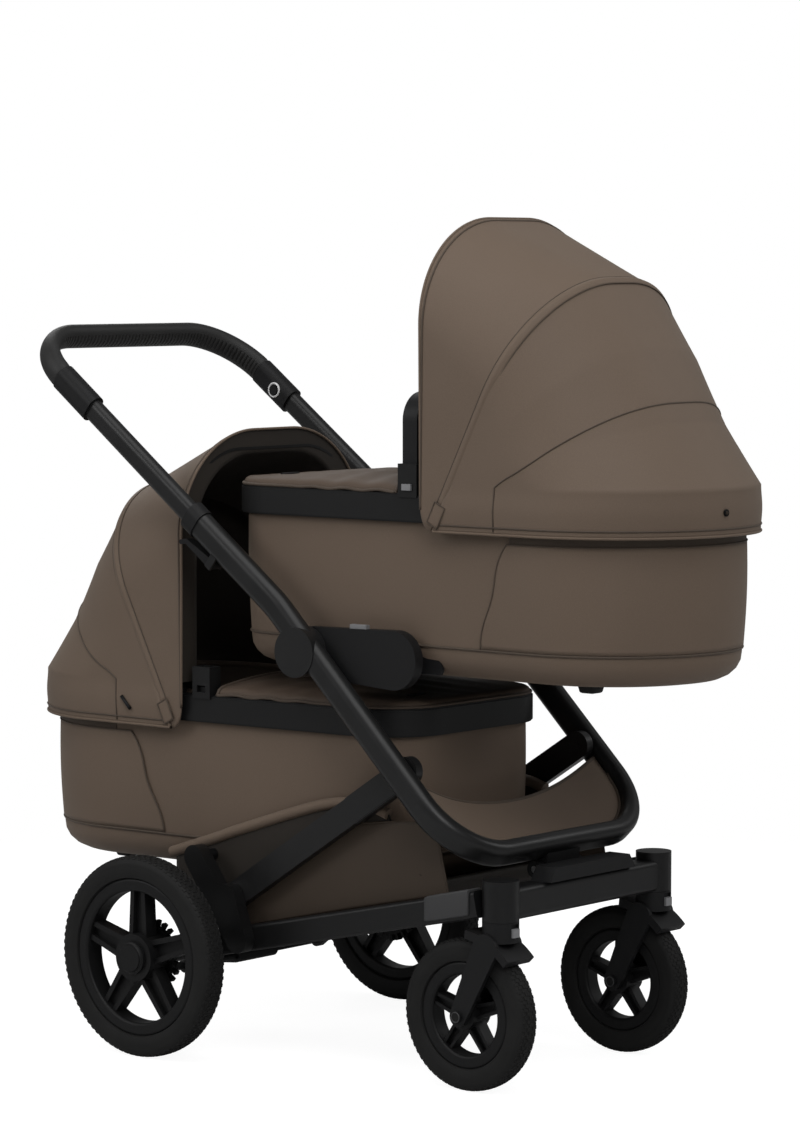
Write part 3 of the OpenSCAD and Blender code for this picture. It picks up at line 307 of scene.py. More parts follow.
# Cloth: a close-woven brown canvas of mixed yarns, proofed on the back, used for every cover of the pram.
# Each panel is cut flat, hemmed or bound, and pulled over its frame.
def canvas_look(name, dark, light, sheen=0.1):
    canvas = Look(name)
    across = canvas.node("ShaderNodeSeparateXYZ", (), {0: canvas.node("ShaderNodeTexCoord", out="UV")})
    along = Value(canvas, across.socket.node.outputs[1])
    spot = canvas.node("ShaderNodeTexCoord", out="Object")
    yarn = canvas.node("ShaderNodeTexNoise", (), {"Vector": spot, "Scale": 700.0, "Detail": 2.0})
    shade = canvas.node("ShaderNodeTexNoise", (), {"Vector": spot, "Scale": 5.0, "Detail": 3.0})
    slack = canvas.node("ShaderNodeTexNoise", (), {"Vector": spot, "Scale": 11.0, "Detail": 2.0})
    thread_pitch = 0.0016
    threads = abs(across.wave(thread_pitch)) * abs(along.wave(thread_pitch))
    ripple = canvas.node("ShaderNodeBump", (), {"Strength": 0.12, "Distance": 0.006, "Height": slack})
    woven = canvas.node(
        "ShaderNodeBump", (),
        {"Strength": 0.16, "Distance": 0.0003, "Height": threads + yarn * 0.5, "Normal": ripple})
    mixed = yarn * 0.55 + shade * 0.3 + threads * 0.15
    return canvas.surface({
        "Base Color": canvas.tint(mixed, (*dark, 1), (*light, 1)),
        "Roughness": yarn * 0.12 + 0.60,
        "Specular IOR Level": 0.25,
        "Sheen Weight": sheen,
        "Sheen Roughness": 0.45,
        "Sheen Tint": (0.80, 0.72, 0.62, 1),
        "Normal": woven,
    })


cloth_brown = canvas_look("cloth_brown", (0.095, 0.0665, 0.0467), (0.155, 0.1146, 0.0860))
cloth_dark = canvas_look("lining_dark", (0.012, 0.0095, 0.0075), (0.030, 0.024, 0.019), 0.03)
# A darker copy of the same canvas for the aprons: painted shade for their tops, which get less light.
apron_painted_shade = canvas_look("apron_shaded_brown", (0.060, 0.0405, 0.0285), (0.100, 0.0725, 0.0535), 0.03)
# A darker copy of the same canvas for the basket panels: painted shade, as they sit low under the cots.
basket_shaded_brown = canvas_look("basket_shaded_brown", (0.034, 0.0243, 0.0168), (0.060, 0.0436, 0.0316), 0.03)
lining_brown = canvas_look("lining_brown", (0.045, 0.034, 0.026), (0.080, 0.062, 0.048), 0.03)
cloth_seam = canvas_look("seam_brown", (0.050, 0.036, 0.026), (0.085, 0.064, 0.049))


def cloth(bm, across, along, place, metres):
    """A grid of cloth put in place by place(u, v), u and v from 0 to 1, with its weave drawn to metres."""
    made = bmesh.ops.create_grid(bm, x_segments=across, y_segments=along, size=0.5)["verts"]
    weave = bm.loops.layers.uv.verify()
    spots = {corner: (corner.co.x + 0.5, corner.co.y + 0.5) for corner in made}
    for face in {face for corner in made for face in corner.link_faces}:
        for loop in face.loops:
            u, v = spots[loop.vert]
            loop[weave].uv = (u * metres[0], v * metres[1])
    for corner, (u, v) in spots.items():
        corner.co = place(u, v)


def piping(bm, points, radius, slot, closed=False, sides=2):
    """A round cord or rolled edge along points, added to bm."""
    line = bpy.data.curves.new("piping", "CURVE")
    line.dimensions = "3D"
    line.bevel_depth = radius
    line.bevel_resolution = sides
    line.use_fill_caps = True
    spline = line.splines.new("POLY")
    spline.points.add(len(points) - 1)
    spline.use_cyclic_u = closed
    for spot, at in zip(spline.points, points):
        spot.co = (*at, 1)
    holder = bpy.data.objects.new("piping", line)
    mesh = bpy.data.meshes.new_from_object(holder)
    before = set(bm.faces)
    bm.from_mesh(mesh)
    for face in bm.faces:
        if face not in before:
            face.material_index = slot
    bpy.data.objects.remove(holder)
    bpy.data.curves.remove(line)
    bpy.data.meshes.remove(mesh)


def thicken(made, deep, inside=0, offset=-1.0, even=True):
    wall = made.modifiers.new("cloth", "SOLIDIFY")
    wall.thickness = deep
    wall.offset = offset
    wall.use_even_offset = even
    wall.material_offset = inside


def area_of(bm):
    return sum(face.calc_area() for face in bm.faces)


def face_out(bm, middle, inwards=False):
    """Turns a sheet's faces away from middle, or towards it."""
    bmesh.ops.recalc_face_normals(bm, faces=bm.faces)
    bm.normal_update()
    out = sum((face.calc_center_median() - middle).dot(face.normal) * face.calc_area() for face in bm.faces)
    if (out < 0) != inwards:
        bmesh.ops.reverse_faces(bm, faces=bm.faces)


# Fork bolts and base tube sleeves: a capped wheel bolt shows on each side of a fork.
# The grey sleeve covers the joint between a base tube and its caster housing, and is pressed on.
sleeve_grey = moulded("sleeve_grey", (0.040, 0.040, 0.041), 0.36, 1400.0)
cap_r, cap_rise, cap_ring = 0.0062, 0.0009, 0.0070
axle_x, axle_z, base_rise = -0.2195, 0.1475, 0.2199
tube_near, tube_far, tube_half = 0.184, 0.208, 0.0195
hands = (("left", 1), ("right", -1))


def tube_line(x):
    """Height of a base tube's middle line, which climbs from the rear axle to the casters."""
    return axle_z + (x - axle_x) * base_rise


for hand, sign in hands:
    low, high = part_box(f"fork_{hand}")
    hub_low, hub_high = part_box(f"front_tyre_{hand}")
    hub = (hub_low + hub_high) / 2
    cap_bm = bmesh.new()
    for side in (low.y, high.y):
        out = cap_rise if side == high.y else -cap_rise
        face = [Vector((hub.x, side - out, hub.z)), Vector((hub.x, side + out, hub.z))]
        piping(cap_bm, face, cap_r, 0, sides=4)
        edge = []
        for k in range(24):
            a = k * pi / 12
            edge.append(Vector((hub.x + cap_ring * cos(a), side + out, hub.z + cap_ring * sin(a))))
        piping(cap_bm, edge, cap_rise, 1, closed=True)
    cap = new_piece(f"fork_bolt_caps_{hand}", cap_bm, [tyre_black, sleeve_grey])
    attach(cap, f"caster_{hand}")

    sleeve_bm = bmesh.new()
    ends = []
    for x, grow in ((0.238, 0.0012), (0.246, 0.0030), (0.318, 0.0034)):
        tall, near, far = tube_half + grow, tube_near - grow, tube_far + grow
        corners = ((near, tall), (far, tall), (far, -tall * 0.6), (near, -tall * 0.6))
        ends.append([sleeve_bm.verts.new((x, sign * y, tube_line(x) + z)) for y, z in corners])
    for back, front in zip(ends, ends[1:]):
        for k in range(4):
            sleeve_bm.faces.new((back[k], back[k - 1], front[k - 1], front[k]))
    for cover in (ends[0], ends[-1]):
        sleeve_bm.faces.new(cover)
    bmesh.ops.recalc_face_normals(sleeve_bm, faces=sleeve_bm.faces)
    bmesh.ops.bevel(
        sleeve_bm, geom=sleeve_bm.edges[:], offset=0.0022, segments=3, profile=0.5, affect="EDGES",
        clamp_overlap=True)
    sleeve = new_piece(f"base_tube_sleeve_{hand}", sleeve_bm, [sleeve_grey])
    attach(sleeve, "chassis")


# Basket: a dark cloth sling on the base tubes, with a padded hem and an outer canvas panel on each long side.
# The floor sags a little between the tubes, and the panels' front tops are tied to the main frame.
basket_back, basket_front = -0.2555, 0.2200
basket_half, basket_turn = 0.1815, 0.022
basket_belly, basket_sag = 0.003, 0.006
sling_up, front_low, back_deep = 0.0165, 0.285, 0.045
back_rise, back_way, front_rise, front_way = -0.150, 0.11, 0.19, 0.03
rim_line = (
    (-0.2650, 0.283), (-0.18, 0.311), (-0.12, 0.332), (0.0315, 0.379), (0.110, 0.386), (0.1525, 0.376),
    (0.1755, 0.325), (0.2125, 0.300))


def follow(line, x):
    for (x0, z0), (x1, z1) in zip(line, line[1:]):
        if x <= x1:
            return z0 + (z1 - z0) * max(0, x - x0) / (x1 - x0)
    return line[-1][1]


def ease(share):
    share = min(1, max(0, share))
    return share * share * (3 - 2 * share)


def basket_low(x):
    on_tube = tube_line(x) + sling_up
    back = ease((back_rise - x) / back_way)
    front = ease((x - front_rise) / front_way)
    return on_tube + back * (follow(rim_line, x) - back_deep - on_tube) + front * (front_low - on_tube)


def basket_spot(u, v):
    x = basket_back + (basket_front - basket_back) * v
    top, low = follow(rim_line, x), basket_low(x)
    turn, flat = basket_turn, basket_half - basket_turn
    wall = max(top - low - turn, 0.001)
    bend = turn * pi / 2
    half = wall + bend + flat
    way, mirror = 2 * half * u, 1
    if way > half:
        way, mirror = 2 * half - way, -1
    belly = basket_belly * sin(pi * v)
    if way < wall:
        side, height = basket_half + belly * sin(pi * way / wall), top - way
    elif way < wall + bend:
        angle = (way - wall) / turn
        side, height = basket_half - turn * (1 - cos(angle)), low + turn * (1 - sin(angle))
    else:
        side = flat - (way - wall - bend)
        height = low - basket_sag * (1 - (side / flat) ** 2) * sin(pi * v)
    return Vector((x, -mirror * side, height))


basket_bm = bmesh.new()
cloth(basket_bm, 64, 70, basket_spot, (0.75, 0.48))
bmesh.ops.recalc_face_normals(basket_bm, faces=basket_bm.faces)
basket_area = area_of(basket_bm)
basket = new_piece("basket_sling", basket_bm, [cloth_dark])
thicken(basket, 0.003, offset=0)
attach(basket, "chassis")
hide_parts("basket")
basket_area / 0.75 * 1.05


def smooth_line(points, step):
    """Points set close together on a soft curve through points."""
    dense = []
    ends = [2 * points[0] - points[1], *points, 2 * points[-1] - points[-2]]
    for a, b, c, d in zip(ends, ends[1:], ends[2:], ends[3:]):
        count = max(2, ceil((c - b).length / step))
        slow, turn, twist = c - a, 2 * a - 5 * b + 4 * c - d, 3 * b - 3 * c + d - a
        for t in (k / count for k in range(count)):
            dense.append(0.5 * (2 * b + slow * t + turn * t * t + twist * t ** 3))
    return dense + [points[-1]]


for hand, sign in hands:
    hem_bm = bmesh.new()
    hem_path = [Vector((x, sign * basket_half, z)) for x, z in rim_line[:6]]
    piping(hem_bm, smooth_line(hem_path, 0.012), 0.0085, 0, sides=4)
    hem = new_piece(f"basket_hem_{hand}", hem_bm, [cloth_brown])
    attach(hem, "chassis")


panel_back, panel_front, panel_side, panel_belly = -0.1300, 0.2384, 0.1852, 0.0030
panel_up, panel_end_tall = 0.0190, 0.09
panel_top = (
    (panel_back, 0.215), (-0.1195, 0.232), (0.0450, 0.334), (0.0900, 0.3575), (0.1500, 0.3655),
    (panel_front, 0.3720))
panel_end = ((0.2820, 0.2640), (0.3440, 0.2493), (0.3720, panel_front))


def panel_spot(u, v, sign):
    x = panel_back + (follow(panel_end, panel_end[0][0] + panel_end_tall * v) - panel_back) * u
    low = tube_line(x) + panel_up
    z = low + (follow(panel_top, min(x, panel_front)) - low) * v
    return Vector((x, sign * (panel_side + panel_belly * sin(pi * u) * sin(pi * v)), z))


for hand, sign in hands:
    panel_bm = bmesh.new()
    cloth(panel_bm, 70, 24, lambda u, v: panel_spot(u, v, sign), (0.40, 0.13))
    face_out(panel_bm, Vector((0.05, 0, 0.28)))
    panel_area = area_of(panel_bm)
    piping(panel_bm, [panel_spot(k / 70, 1, sign) for k in range(71)], 0.0012, 0)
    piping(panel_bm, [panel_spot(1, k / 24, sign) for k in range(25)], 0.0012, 0)
    # The panel takes the darker copy of the canvas: painted shade.
    panel = new_piece(f"basket_panel_{hand}", panel_bm, [basket_shaded_brown])
    thicken(panel, 0.0020)
    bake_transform(panel)
    panel_area / 0.40 * 1.5


# Main frame and handle tubes: oval aluminium, bent and powder coated, the handle sliding inside the frame.
# The places of the printed names on the upper ends are left bare.
dress(frame_black, "main_frame", "handle_tube")
dress(plastic_black, "handle_button_left", "handle_button_right")


# Footrest: a canvas panel slung in the bow of the main frame and bound along its upper and lower edges.
# It sags in the middle and stands up to a point at each side.
fall_low = radians(44.9)
low_start = Vector((-0.0109, 0, 0.6556))
low_run = Vector((cos(fall_low), 0, -sin(fall_low)))
low_up = Vector((sin(fall_low), 0, cos(fall_low)))
rest_half, rest_turn, rest_far = 0.2080, 0.0855, 0.4465
rest_deep, rest_cut, rest_sag = 0.118, 0.034, 0.026


def rest_spot(u, v):
    across = 2 * u - 1
    side = abs(across) * rest_half
    near = 0.0
    if side > rest_half - rest_turn:
        near = rest_turn - sqrt(max(0, rest_turn ** 2 - (side - rest_half + rest_turn) ** 2))
    far = rest_deep - rest_cut * (1 - across * across)
    run = near + v * max(far - near, 0.004)
    dip = -rest_sag * (1 - abs(across) ** 2.4) * sin(pi / 2 * (0.25 + 0.75 * v)) * (1 - abs(across) ** 8)
    return low_start + low_run * (rest_far - run) + Vector((0, across * rest_half, 0)) + low_up * dip


rest_bm = bmesh.new()
cloth(rest_bm, 60, 24, rest_spot, (0.45, 0.12))
bmesh.ops.recalc_face_normals(rest_bm, faces=rest_bm.faces)
rest_area = area_of(rest_bm)
footrest = new_piece("footrest_panel", rest_bm, [cloth_brown])
thicken(footrest, 0.005, offset=0)
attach(footrest, "main_frame")
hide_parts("footrest")

bind_bm = bmesh.new()
edge_line = [rest_spot(k / 60, 1) for k in range(61)]
piping(bind_bm, edge_line, 0.0035, 0, sides=3)
piping(bind_bm, [rest_spot(k / 80, 0) + low_up * 0.002 for k in range(81)], 0.0028, 0, sides=3)
binding = new_piece("footrest_binding", bind_bm, [cloth_seam])
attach(binding, "main_frame")
rest_area / 0.46 * 1.1


# Handle grip: a sleeve of black leatherette, pulled tight over foam and laced together along the inside.
# The lacing gathers the edges into a row of short pleats.
fall_high = radians(37)
sleeve_top = Vector((-0.1835, 0, 0.788))
high_run = Vector((cos(fall_high), 0, -sin(fall_high)))
high_up = Vector((sin(fall_high), 0, cos(fall_high)))
grip_turn, grip_half, grip_start = 0.097, 0.223, 0.326
grip_wide, grip_tall, grip_round = 0.0139, 0.0204, 0.110
grip_taper, grip_mouth = 0.06, 0.012
grip_bend = grip_turn * pi / 2
grip_bar = 2 * (grip_half - grip_turn)
grip_all = 2 * grip_bend + grip_bar


def grip_spot(u, v):
    way = u * grip_all
    mirror = 1
    if way > grip_all / 2:
        way, mirror = grip_all - way, -1
    if way < grip_bend:
        angle = way / grip_turn
        run = -grip_start - grip_turn * sin(angle)
        side = grip_half - grip_turn + grip_turn * cos(angle)
        out = Vector((0, cos(angle), 0)) - high_run * sin(angle)
    else:
        run = -grip_start - grip_turn
        side = grip_half - grip_turn - (way - grip_bend)
        out = -high_run
    out.y *= mirror
    middle = sleeve_top + high_run * run + Vector((0, mirror * side, 0))
    turn = 2 * pi * v
    swell = 1 - grip_taper * ease(1 - min(u, 1 - u) / grip_mouth)
    return middle + out * (grip_wide * swell * cos(turn)) + high_up * (grip_tall * swell * sin(turn))


def leatherette():
    hide = Look("grip_black")
    run = hide.node("ShaderNodeSeparateXYZ", (), {0: hide.node("ShaderNodeTexCoord", out="UV")})
    round_about = Value(hide, run.socket.node.outputs[1])
    spot = hide.node("ShaderNodeTexCoord", out="Object")
    pores = hide.node("ShaderNodeTexVoronoi", {"feature": "F1"}, {"Vector": spot, "Scale": 620.0})
    wear = hide.node("ShaderNodeTexNoise", (), {"Vector": spot, "Scale": 18.0, "Detail": 4.0})
    from_seam = abs(round_about - grip_round / 2)
    seam = from_seam < 0.0011
    laced = from_seam < 0.0100
    lace_pitch = 0.0150
    pleats = laced * abs(run.wave(lace_pitch))
    # The creases between the pleats are painted nearly black: painted shade in the folds.
    painted_crease_shade = laced * (abs(run.wave(lace_pitch)) < 0.34)
    rough = hide.node("ShaderNodeBump", (), {"Strength": 0.35, "Distance": 0.0005, "Height": pores})
    drawn = hide.node(
        "ShaderNodeBump", (),
        {"Strength": 0.8, "Distance": 0.0018, "Height": pleats - seam * 1.2, "Normal": rough})
    worn = hide.tint(wear, (0.0160, 0.0160, 0.0160, 1), (0.0250, 0.0247, 0.0243, 1))
    return hide.surface({
        "Base Color": hide.tint(painted_crease_shade * 0.75, worn, (0.001, 0.001, 0.001, 1)),
        "Roughness": wear * 0.14 + 0.44,
        "Specular IOR Level": 0.22,
        "Normal": drawn,
    })


grip_bm = bmesh.new()
cloth(grip_bm, 150, 32, grip_spot, (grip_all, grip_round))
bmesh.ops.remove_doubles(grip_bm, verts=grip_bm.verts, dist=1e-6)
for left in (True, False):
    mouth = [edge for edge in grip_bm.edges if edge.is_boundary and (edge.verts[0].co.y > 0) == left]
    bmesh.ops.contextual_create(grip_bm, geom=mouth)
bmesh.ops.recalc_face_normals(grip_bm, faces=grip_bm.faces)
grip = new_piece("grip_sleeve", grip_bm, [leatherette()])
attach(grip, "handle")
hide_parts("handle_grip")


# Handle buttons: a black push button in a polished ring, pressed into the inside of each collar.
# The ring guides the thumb, and a small screw below it holds the collar to the tube.
ring_r, ring_side, screw_off = 0.0105, 0.2081, 0.0215
for hand, sign in hands:
    low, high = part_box(f"handle_button_{hand}")
    middle = (low + high) / 2
    ring_bm = bmesh.new()
    ring_at = []
    for a in (k * pi / 16 for k in range(32)):
        ring_at.append(Vector((middle.x + cos(a) * ring_r, sign * ring_side, middle.z + sin(a) * ring_r)))
    piping(ring_bm, ring_at, 0.0017, 0, closed=True, sides=3)
    screw = middle + high_run * screw_off
    piping(ring_bm, [Vector((screw.x, sign * y, screw.z)) for y in (0.2095, 0.2080)], 0.0032, 1, sides=3)
    # The ring's light grey is a painted reflection of its polished shine.
    ring = new_piece(f"handle_button_ring_{hand}", ring_bm, [ring_painted_shine, plastic_black])
    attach(ring, "handle")


# Carrycot tubs: canvas walls hung under the rim and drawn in round the base board, with a seam low down.
# The head end has a second layer that wraps round from side to side, below a darker vent strip.
cots = ("upper", "lower")
head_at, head_round, foot_at, foot_side, foot_round = 0.192, 0.198, -0.300, 0.092, 0.090
lean = radians(91.87)
between = hypot(head_at - foot_at, foot_side)
slope = between * sqrt(1 - ((head_round - foot_round) / between) ** 2)
foot_arc = foot_round * (pi - lean)
plan_ways = (foot_side, foot_arc, slope, head_round * 2 * lean, slope, foot_arc, foot_side)
plan_all = sum(plan_ways)


def plan_spot(share, inset):
    """Point of a cot's outline drawn in by inset, from the middle of the foot end along the right side."""
    way = (share % 1.0) * plan_all
    for part, long in enumerate(plan_ways):
        if way <= long or part == 6:
            break
        way -= long
    t = way / long
    small, big = foot_round - inset, head_round - inset
    if part == 0:
        return foot_at - small, -foot_side * t
    if part == 6:
        return foot_at - small, foot_side * (1 - t)
    if part in (1, 5):
        a = pi + (pi - lean) * t if part == 1 else lean + (pi - lean) * t
        return foot_at + small * cos(a), (-foot_side if part == 1 else foot_side) + small * sin(a)
    if part == 3:
        a = -lean + 2 * lean * t
        return head_at + big * cos(a), big * sin(a)
    t = t if part == 2 else 1 - t
    x0, y0 = foot_at + small * cos(lean), foot_side + small * sin(lean)
    x1, y1 = head_at + big * cos(lean), big * sin(lean)
    side = -1 if part == 2 else 1
    return x0 + (x1 - x0) * t, side * (y0 + (y1 - y0) * t)


def side_share(x):
    """Share of the way round at which the right side reaches x."""
    x0, x1 = foot_at + foot_round * cos(lean), head_at + head_round * cos(lean)
    return (plan_ways[0] + plan_ways[1] + slope * (x - x0) / (x1 - x0)) / plan_all


cot_at, upper_rim, lower_rim = 0.2155, 0.832, 0.522


def cot_place(cot):
    """Takes a point of a cot, from the middle of its rim and with +x to the head, to the pram's frame."""
    if cot == "upper":
        return lambda x, y, z: Vector((cot_at + x, y, upper_rim + z))
    return lambda x, y, z: Vector((-cot_at - x, y, lower_rim + z))


wall_share = 0.84
wall_top, wall_low = -0.036, -0.222
inset_top, inset_low, wall_swell = 0.0105, 0.015, 0.0022
corner_in, corner_down = 0.042, 0.036
seam_down, wrap_top, wrap_deep, vent_top, vent_deep = 0.80, 0.125, 0.665, 0.035, 0.10
wrap_out, wrap_swell, wrap_wave, vent_out, vent_lead = 0.0016, 0.0008, 0.003, 0.0008, 0.156


def wall_at(down):
    """Inset and height of a tub's outside, from under the rim at 0 to the base board at 1."""
    if down < wall_share:
        t = down / wall_share
        inset = inset_top + (inset_low - inset_top) * t - wall_swell * sin(pi * t)
        return inset, wall_top + (wall_low - wall_top) * t
    a = (down - wall_share) / (1 - wall_share) * pi / 2
    return inset_low + corner_in * (1 - cos(a)), wall_low - corner_down * sin(a)


def tub(cot):
    place = cot_place(cot)

    def tub_spot(u, v):
        inset, z = wall_at(v)
        x, y = plan_spot(u, inset)
        return place(x, y, z)

    bm = bmesh.new()
    cloth(bm, 220, 30, tub_spot, (plan_all, 0.235))
    bmesh.ops.remove_doubles(bm, verts=bm.verts, dist=1e-6)
    face_out(bm, place(0, 0, -0.1))
    wall_cut = area_of(bm)
    seam_inset, seam_z = wall_at(seam_down)
    seam = [place(*plan_spot(k / 220, seam_inset - 0.0004), seam_z) for k in range(220)]
    piping(bm, seam, 0.0012, 2, closed=True)
    wall = new_piece(f"{cot}_tub_cloth", bm, [cloth_brown, cloth_dark, cloth_seam])
    thicken(wall, 0.003, 1)
    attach(wall, f"{cot}_cot")
    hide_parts(f"{cot}_cot_tub")

    lead, fall = (0.152, 0.050) if cot == "upper" else (0.127, 0.062)

    def wrap_spot(u, v):
        inset, z = wall_at(wrap_top + wrap_deep * v)
        edge = side_share(lead - fall * v ** 0.8 - wrap_wave * sin(3 * pi * v))
        x, y = plan_spot(edge + (1 - 2 * edge) * u, inset - wrap_out - wrap_swell * sin(pi * v))
        return place(x, y, z)

    bm = bmesh.new()
    cloth(bm, 150, 24, wrap_spot, (0.9, 0.16))
    face_out(bm, place(0.1, 0, -0.1))
    cut = area_of(bm)
    wrap_rim = [wrap_spot(0, 1 - k / 24) for k in range(25)]
    wrap_rim += [wrap_spot(k / 150, 0) for k in range(1, 150)]
    wrap_rim += [wrap_spot(1, k / 24) for k in range(25)]
    piping(bm, wrap_rim, 0.0011, 1)
    made = new_piece(f"{cot}_tub_wrap", bm, [cloth_brown, cloth_seam])
    thicken(made, 0.0014)
    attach(made, f"{cot}_cot")
    cut / 0.95 * 1.05

    def vent_spot(u, v):
        inset, z = wall_at(vent_top + vent_deep * v)
        edge = side_share(vent_lead)
        x, y = plan_spot(edge + (1 - 2 * edge) * u, inset - vent_out)
        return place(x, y, z)

    bm = bmesh.new()
    cloth(bm, 120, 4, vent_spot, (0.85, 0.02))
    face_out(bm, place(0.1, 0, -0.1))
    # The vent strip's darker brown is partly its own colour and partly painted shade from the hood's hem
    # above it.
    vent = new_piece(f"{cot}_vent_strip", bm, [cloth_seam])
    thicken(vent, 0.0006)
    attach(vent, f"{cot}_cot")
    wall_cut / plan_all * 1.06


# Rims, base boards and bows of the cots: black nylon mouldings that the covers are drawn over.
# The rims and bows are a little glossier than the boards.
bow_plastic = moulded("bow_plastic", (0.0062, 0.0062, 0.0064), 0.34, 1300.0, 0.24)
for cot in cots:
    tub(cot)
    dress(bow_plastic, f"{cot}_cot_rim", f"{cot}_hood_front_bow", f"{cot}_hood_mid_bow")
    dress(plastic_black, f"{cot}_cot_base")


# Cot feet: a black rubber block near each corner of the base board, pushed on over the moulded stub.
# They lift the cloth off the floor when a cot is set down.
foot_wide, foot_tall, foot_z = 0.030, 0.015, -0.2635
for cot in cots:
    feet_bm = bmesh.new()
    for x, y in ((0.226, 0.092), (0.226, -0.092), (-0.242, 0.100), (-0.242, -0.100)):
        for corner in bmesh.ops.create_cube(feet_bm, size=1.0)["verts"]:
            a, b, c = corner.co
            wide = foot_wide * (0.8 if c < 0 else 1.0)
            corner.co = cot_place(cot)(x + a * wide, y + b * wide, foot_z + c * foot_tall)
    bmesh.ops.bevel(
        feet_bm, geom=feet_bm.edges[:], offset=0.003, segments=2, profile=0.5, affect="EDGES",
        clamp_overlap=True)
    bmesh.ops.recalc_face_normals(feet_bm, faces=feet_bm.faces)
    feet = new_piece(f"{cot}_cot_feet", feet_bm, [tyre_black])
    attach(feet, f"{cot}_cot")


# Linings: a dark cloth inside each tub, hung from the rim and edged there with a cord.
# It shows under the raised lower hood.
lining_in, lining_deep, lining_up = 0.0205, 0.197, 0.0005
lining_step, lining_taper, lining_ripple = 0.006, 0.009, 0.0008


def lining(cot):
    place = cot_place(cot)

    def lining_spot(u, v):
        inset = lining_in + lining_step * ease(v * 3) + lining_taper * v + lining_ripple * sin(26 * pi * v)
        x, y = plan_spot(u, inset)
        return place(x, y, lining_up - lining_deep * v)

    bm = bmesh.new()
    cloth(bm, 200, 26, lining_spot, (2.0, 0.2))
    bmesh.ops.remove_doubles(bm, verts=bm.verts, dist=1e-6)
    face_out(bm, place(0, 0, -0.1), True)
    cut = area_of(bm)
    piping(bm, [place(*plan_spot(k / 200, lining_in), 0.0010) for k in range(200)], 0.0022, 1, closed=True)
    made = new_piece(f"{cot}_lining", bm, [lining_brown, cloth_seam])
    thicken(made, 0.0025, offset=1.0)
    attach(made, f"{cot}_cot")
    cut / 2.05 * 1.06


for cot in cots:
    lining(cot)


# Mattresses: a foam slab in a pale quilted cover, lying loose on the base board.
# The cover is sewn through in a diamond pattern, so the pads swell between the stitches.
def quilt_look():
    quilt = Look("mattress_cloth")
    spot = quilt.node("ShaderNodeTexCoord", out="Object")
    knit = quilt.node("ShaderNodeTexVoronoi", (), {"Vector": spot, "Scale": 700.0})
    tone = quilt.node("ShaderNodeTexNoise", (), {"Vector": spot, "Scale": 12.0})
    return quilt.surface({
        "Base Color": quilt.tint(tone, (0.60, 0.575, 0.53, 1), (0.68, 0.655, 0.61, 1)),
        "Roughness": 0.8,
        "Sheen Weight": 0.1,
        "Normal": quilt.node("ShaderNodeBump", (), {"Strength": 0.2, "Distance": 0.0004, "Height": knit}),
    })


mattress_cloth = quilt_look()
pad_low, pad_high, pad_middle = -0.2380, -0.1990, 0.05
pad_in, pad_way, pad_rim = 0.040, 0.150, 0.086
quilt_rise, quilt_turn = 0.003, 38


def mattress(cot):
    place = cot_place(cot)

    def pad_spot(u, v):
        deep = pad_in + pad_way * (1 - sin(pi * v))
        side = 0.5 - 0.5 * cos(pi * v)
        x, y = plan_spot(u, min(deep, pad_rim))
        if deep > pad_rim:
            pull = (deep - pad_rim) / (pad_in + pad_way - pad_rim)
            x, y = x * (1 - pull) + pad_middle * pull, y * (1 - pull)
        tall = pad_low + (pad_high - pad_low) * ease(side)
        quilted = quilt_rise * abs(sin(quilt_turn * (x + y))) * abs(sin(quilt_turn * (x - y)))
        return place(x, y, tall + quilted * ease((side - 0.55) * 4))

    bm = bmesh.new()
    cloth(bm, 120, 60, pad_spot, (1.6, 0.5))
    bmesh.ops.remove_doubles(bm, verts=bm.verts, dist=1e-4)
    bmesh.ops.recalc_face_normals(bm, faces=bm.faces)
    made = new_piece(f"{cot}_mattress_pad", bm, [mattress_cloth])
    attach(made, f"{cot}_cot")
    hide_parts(f"{cot}_mattress")


for cot in cots:
    mattress(cot)


# Aprons: a canvas cover over the foot end, elasticated under the rim, crowned by what lies under it.
# A rolled edge runs all round, and a dark slot near the foot takes a press tab.
apron_foot, apron_end, apron_inset = -0.3865, -0.046, 0.003
apron_up, apron_roll, apron_roll_r, apron_crown = 0.0010, 0.0105, 0.016, 0.0110
fold_rise, ripple_rise = 0.0016, 0.0012


def half_width(x, inset):
    small, big = foot_round - inset, head_round - inset
    if x < foot_at + small * cos(lean):
        return foot_side + sqrt(max(0, small ** 2 - (x - foot_at) ** 2))
    x0, y0 = foot_at + small * cos(lean), foot_side + small * sin(lean)
    x1, y1 = head_at + big * cos(lean), big * sin(lean)
    return y0 + (y1 - y0) * (x - x0) / (x1 - x0)


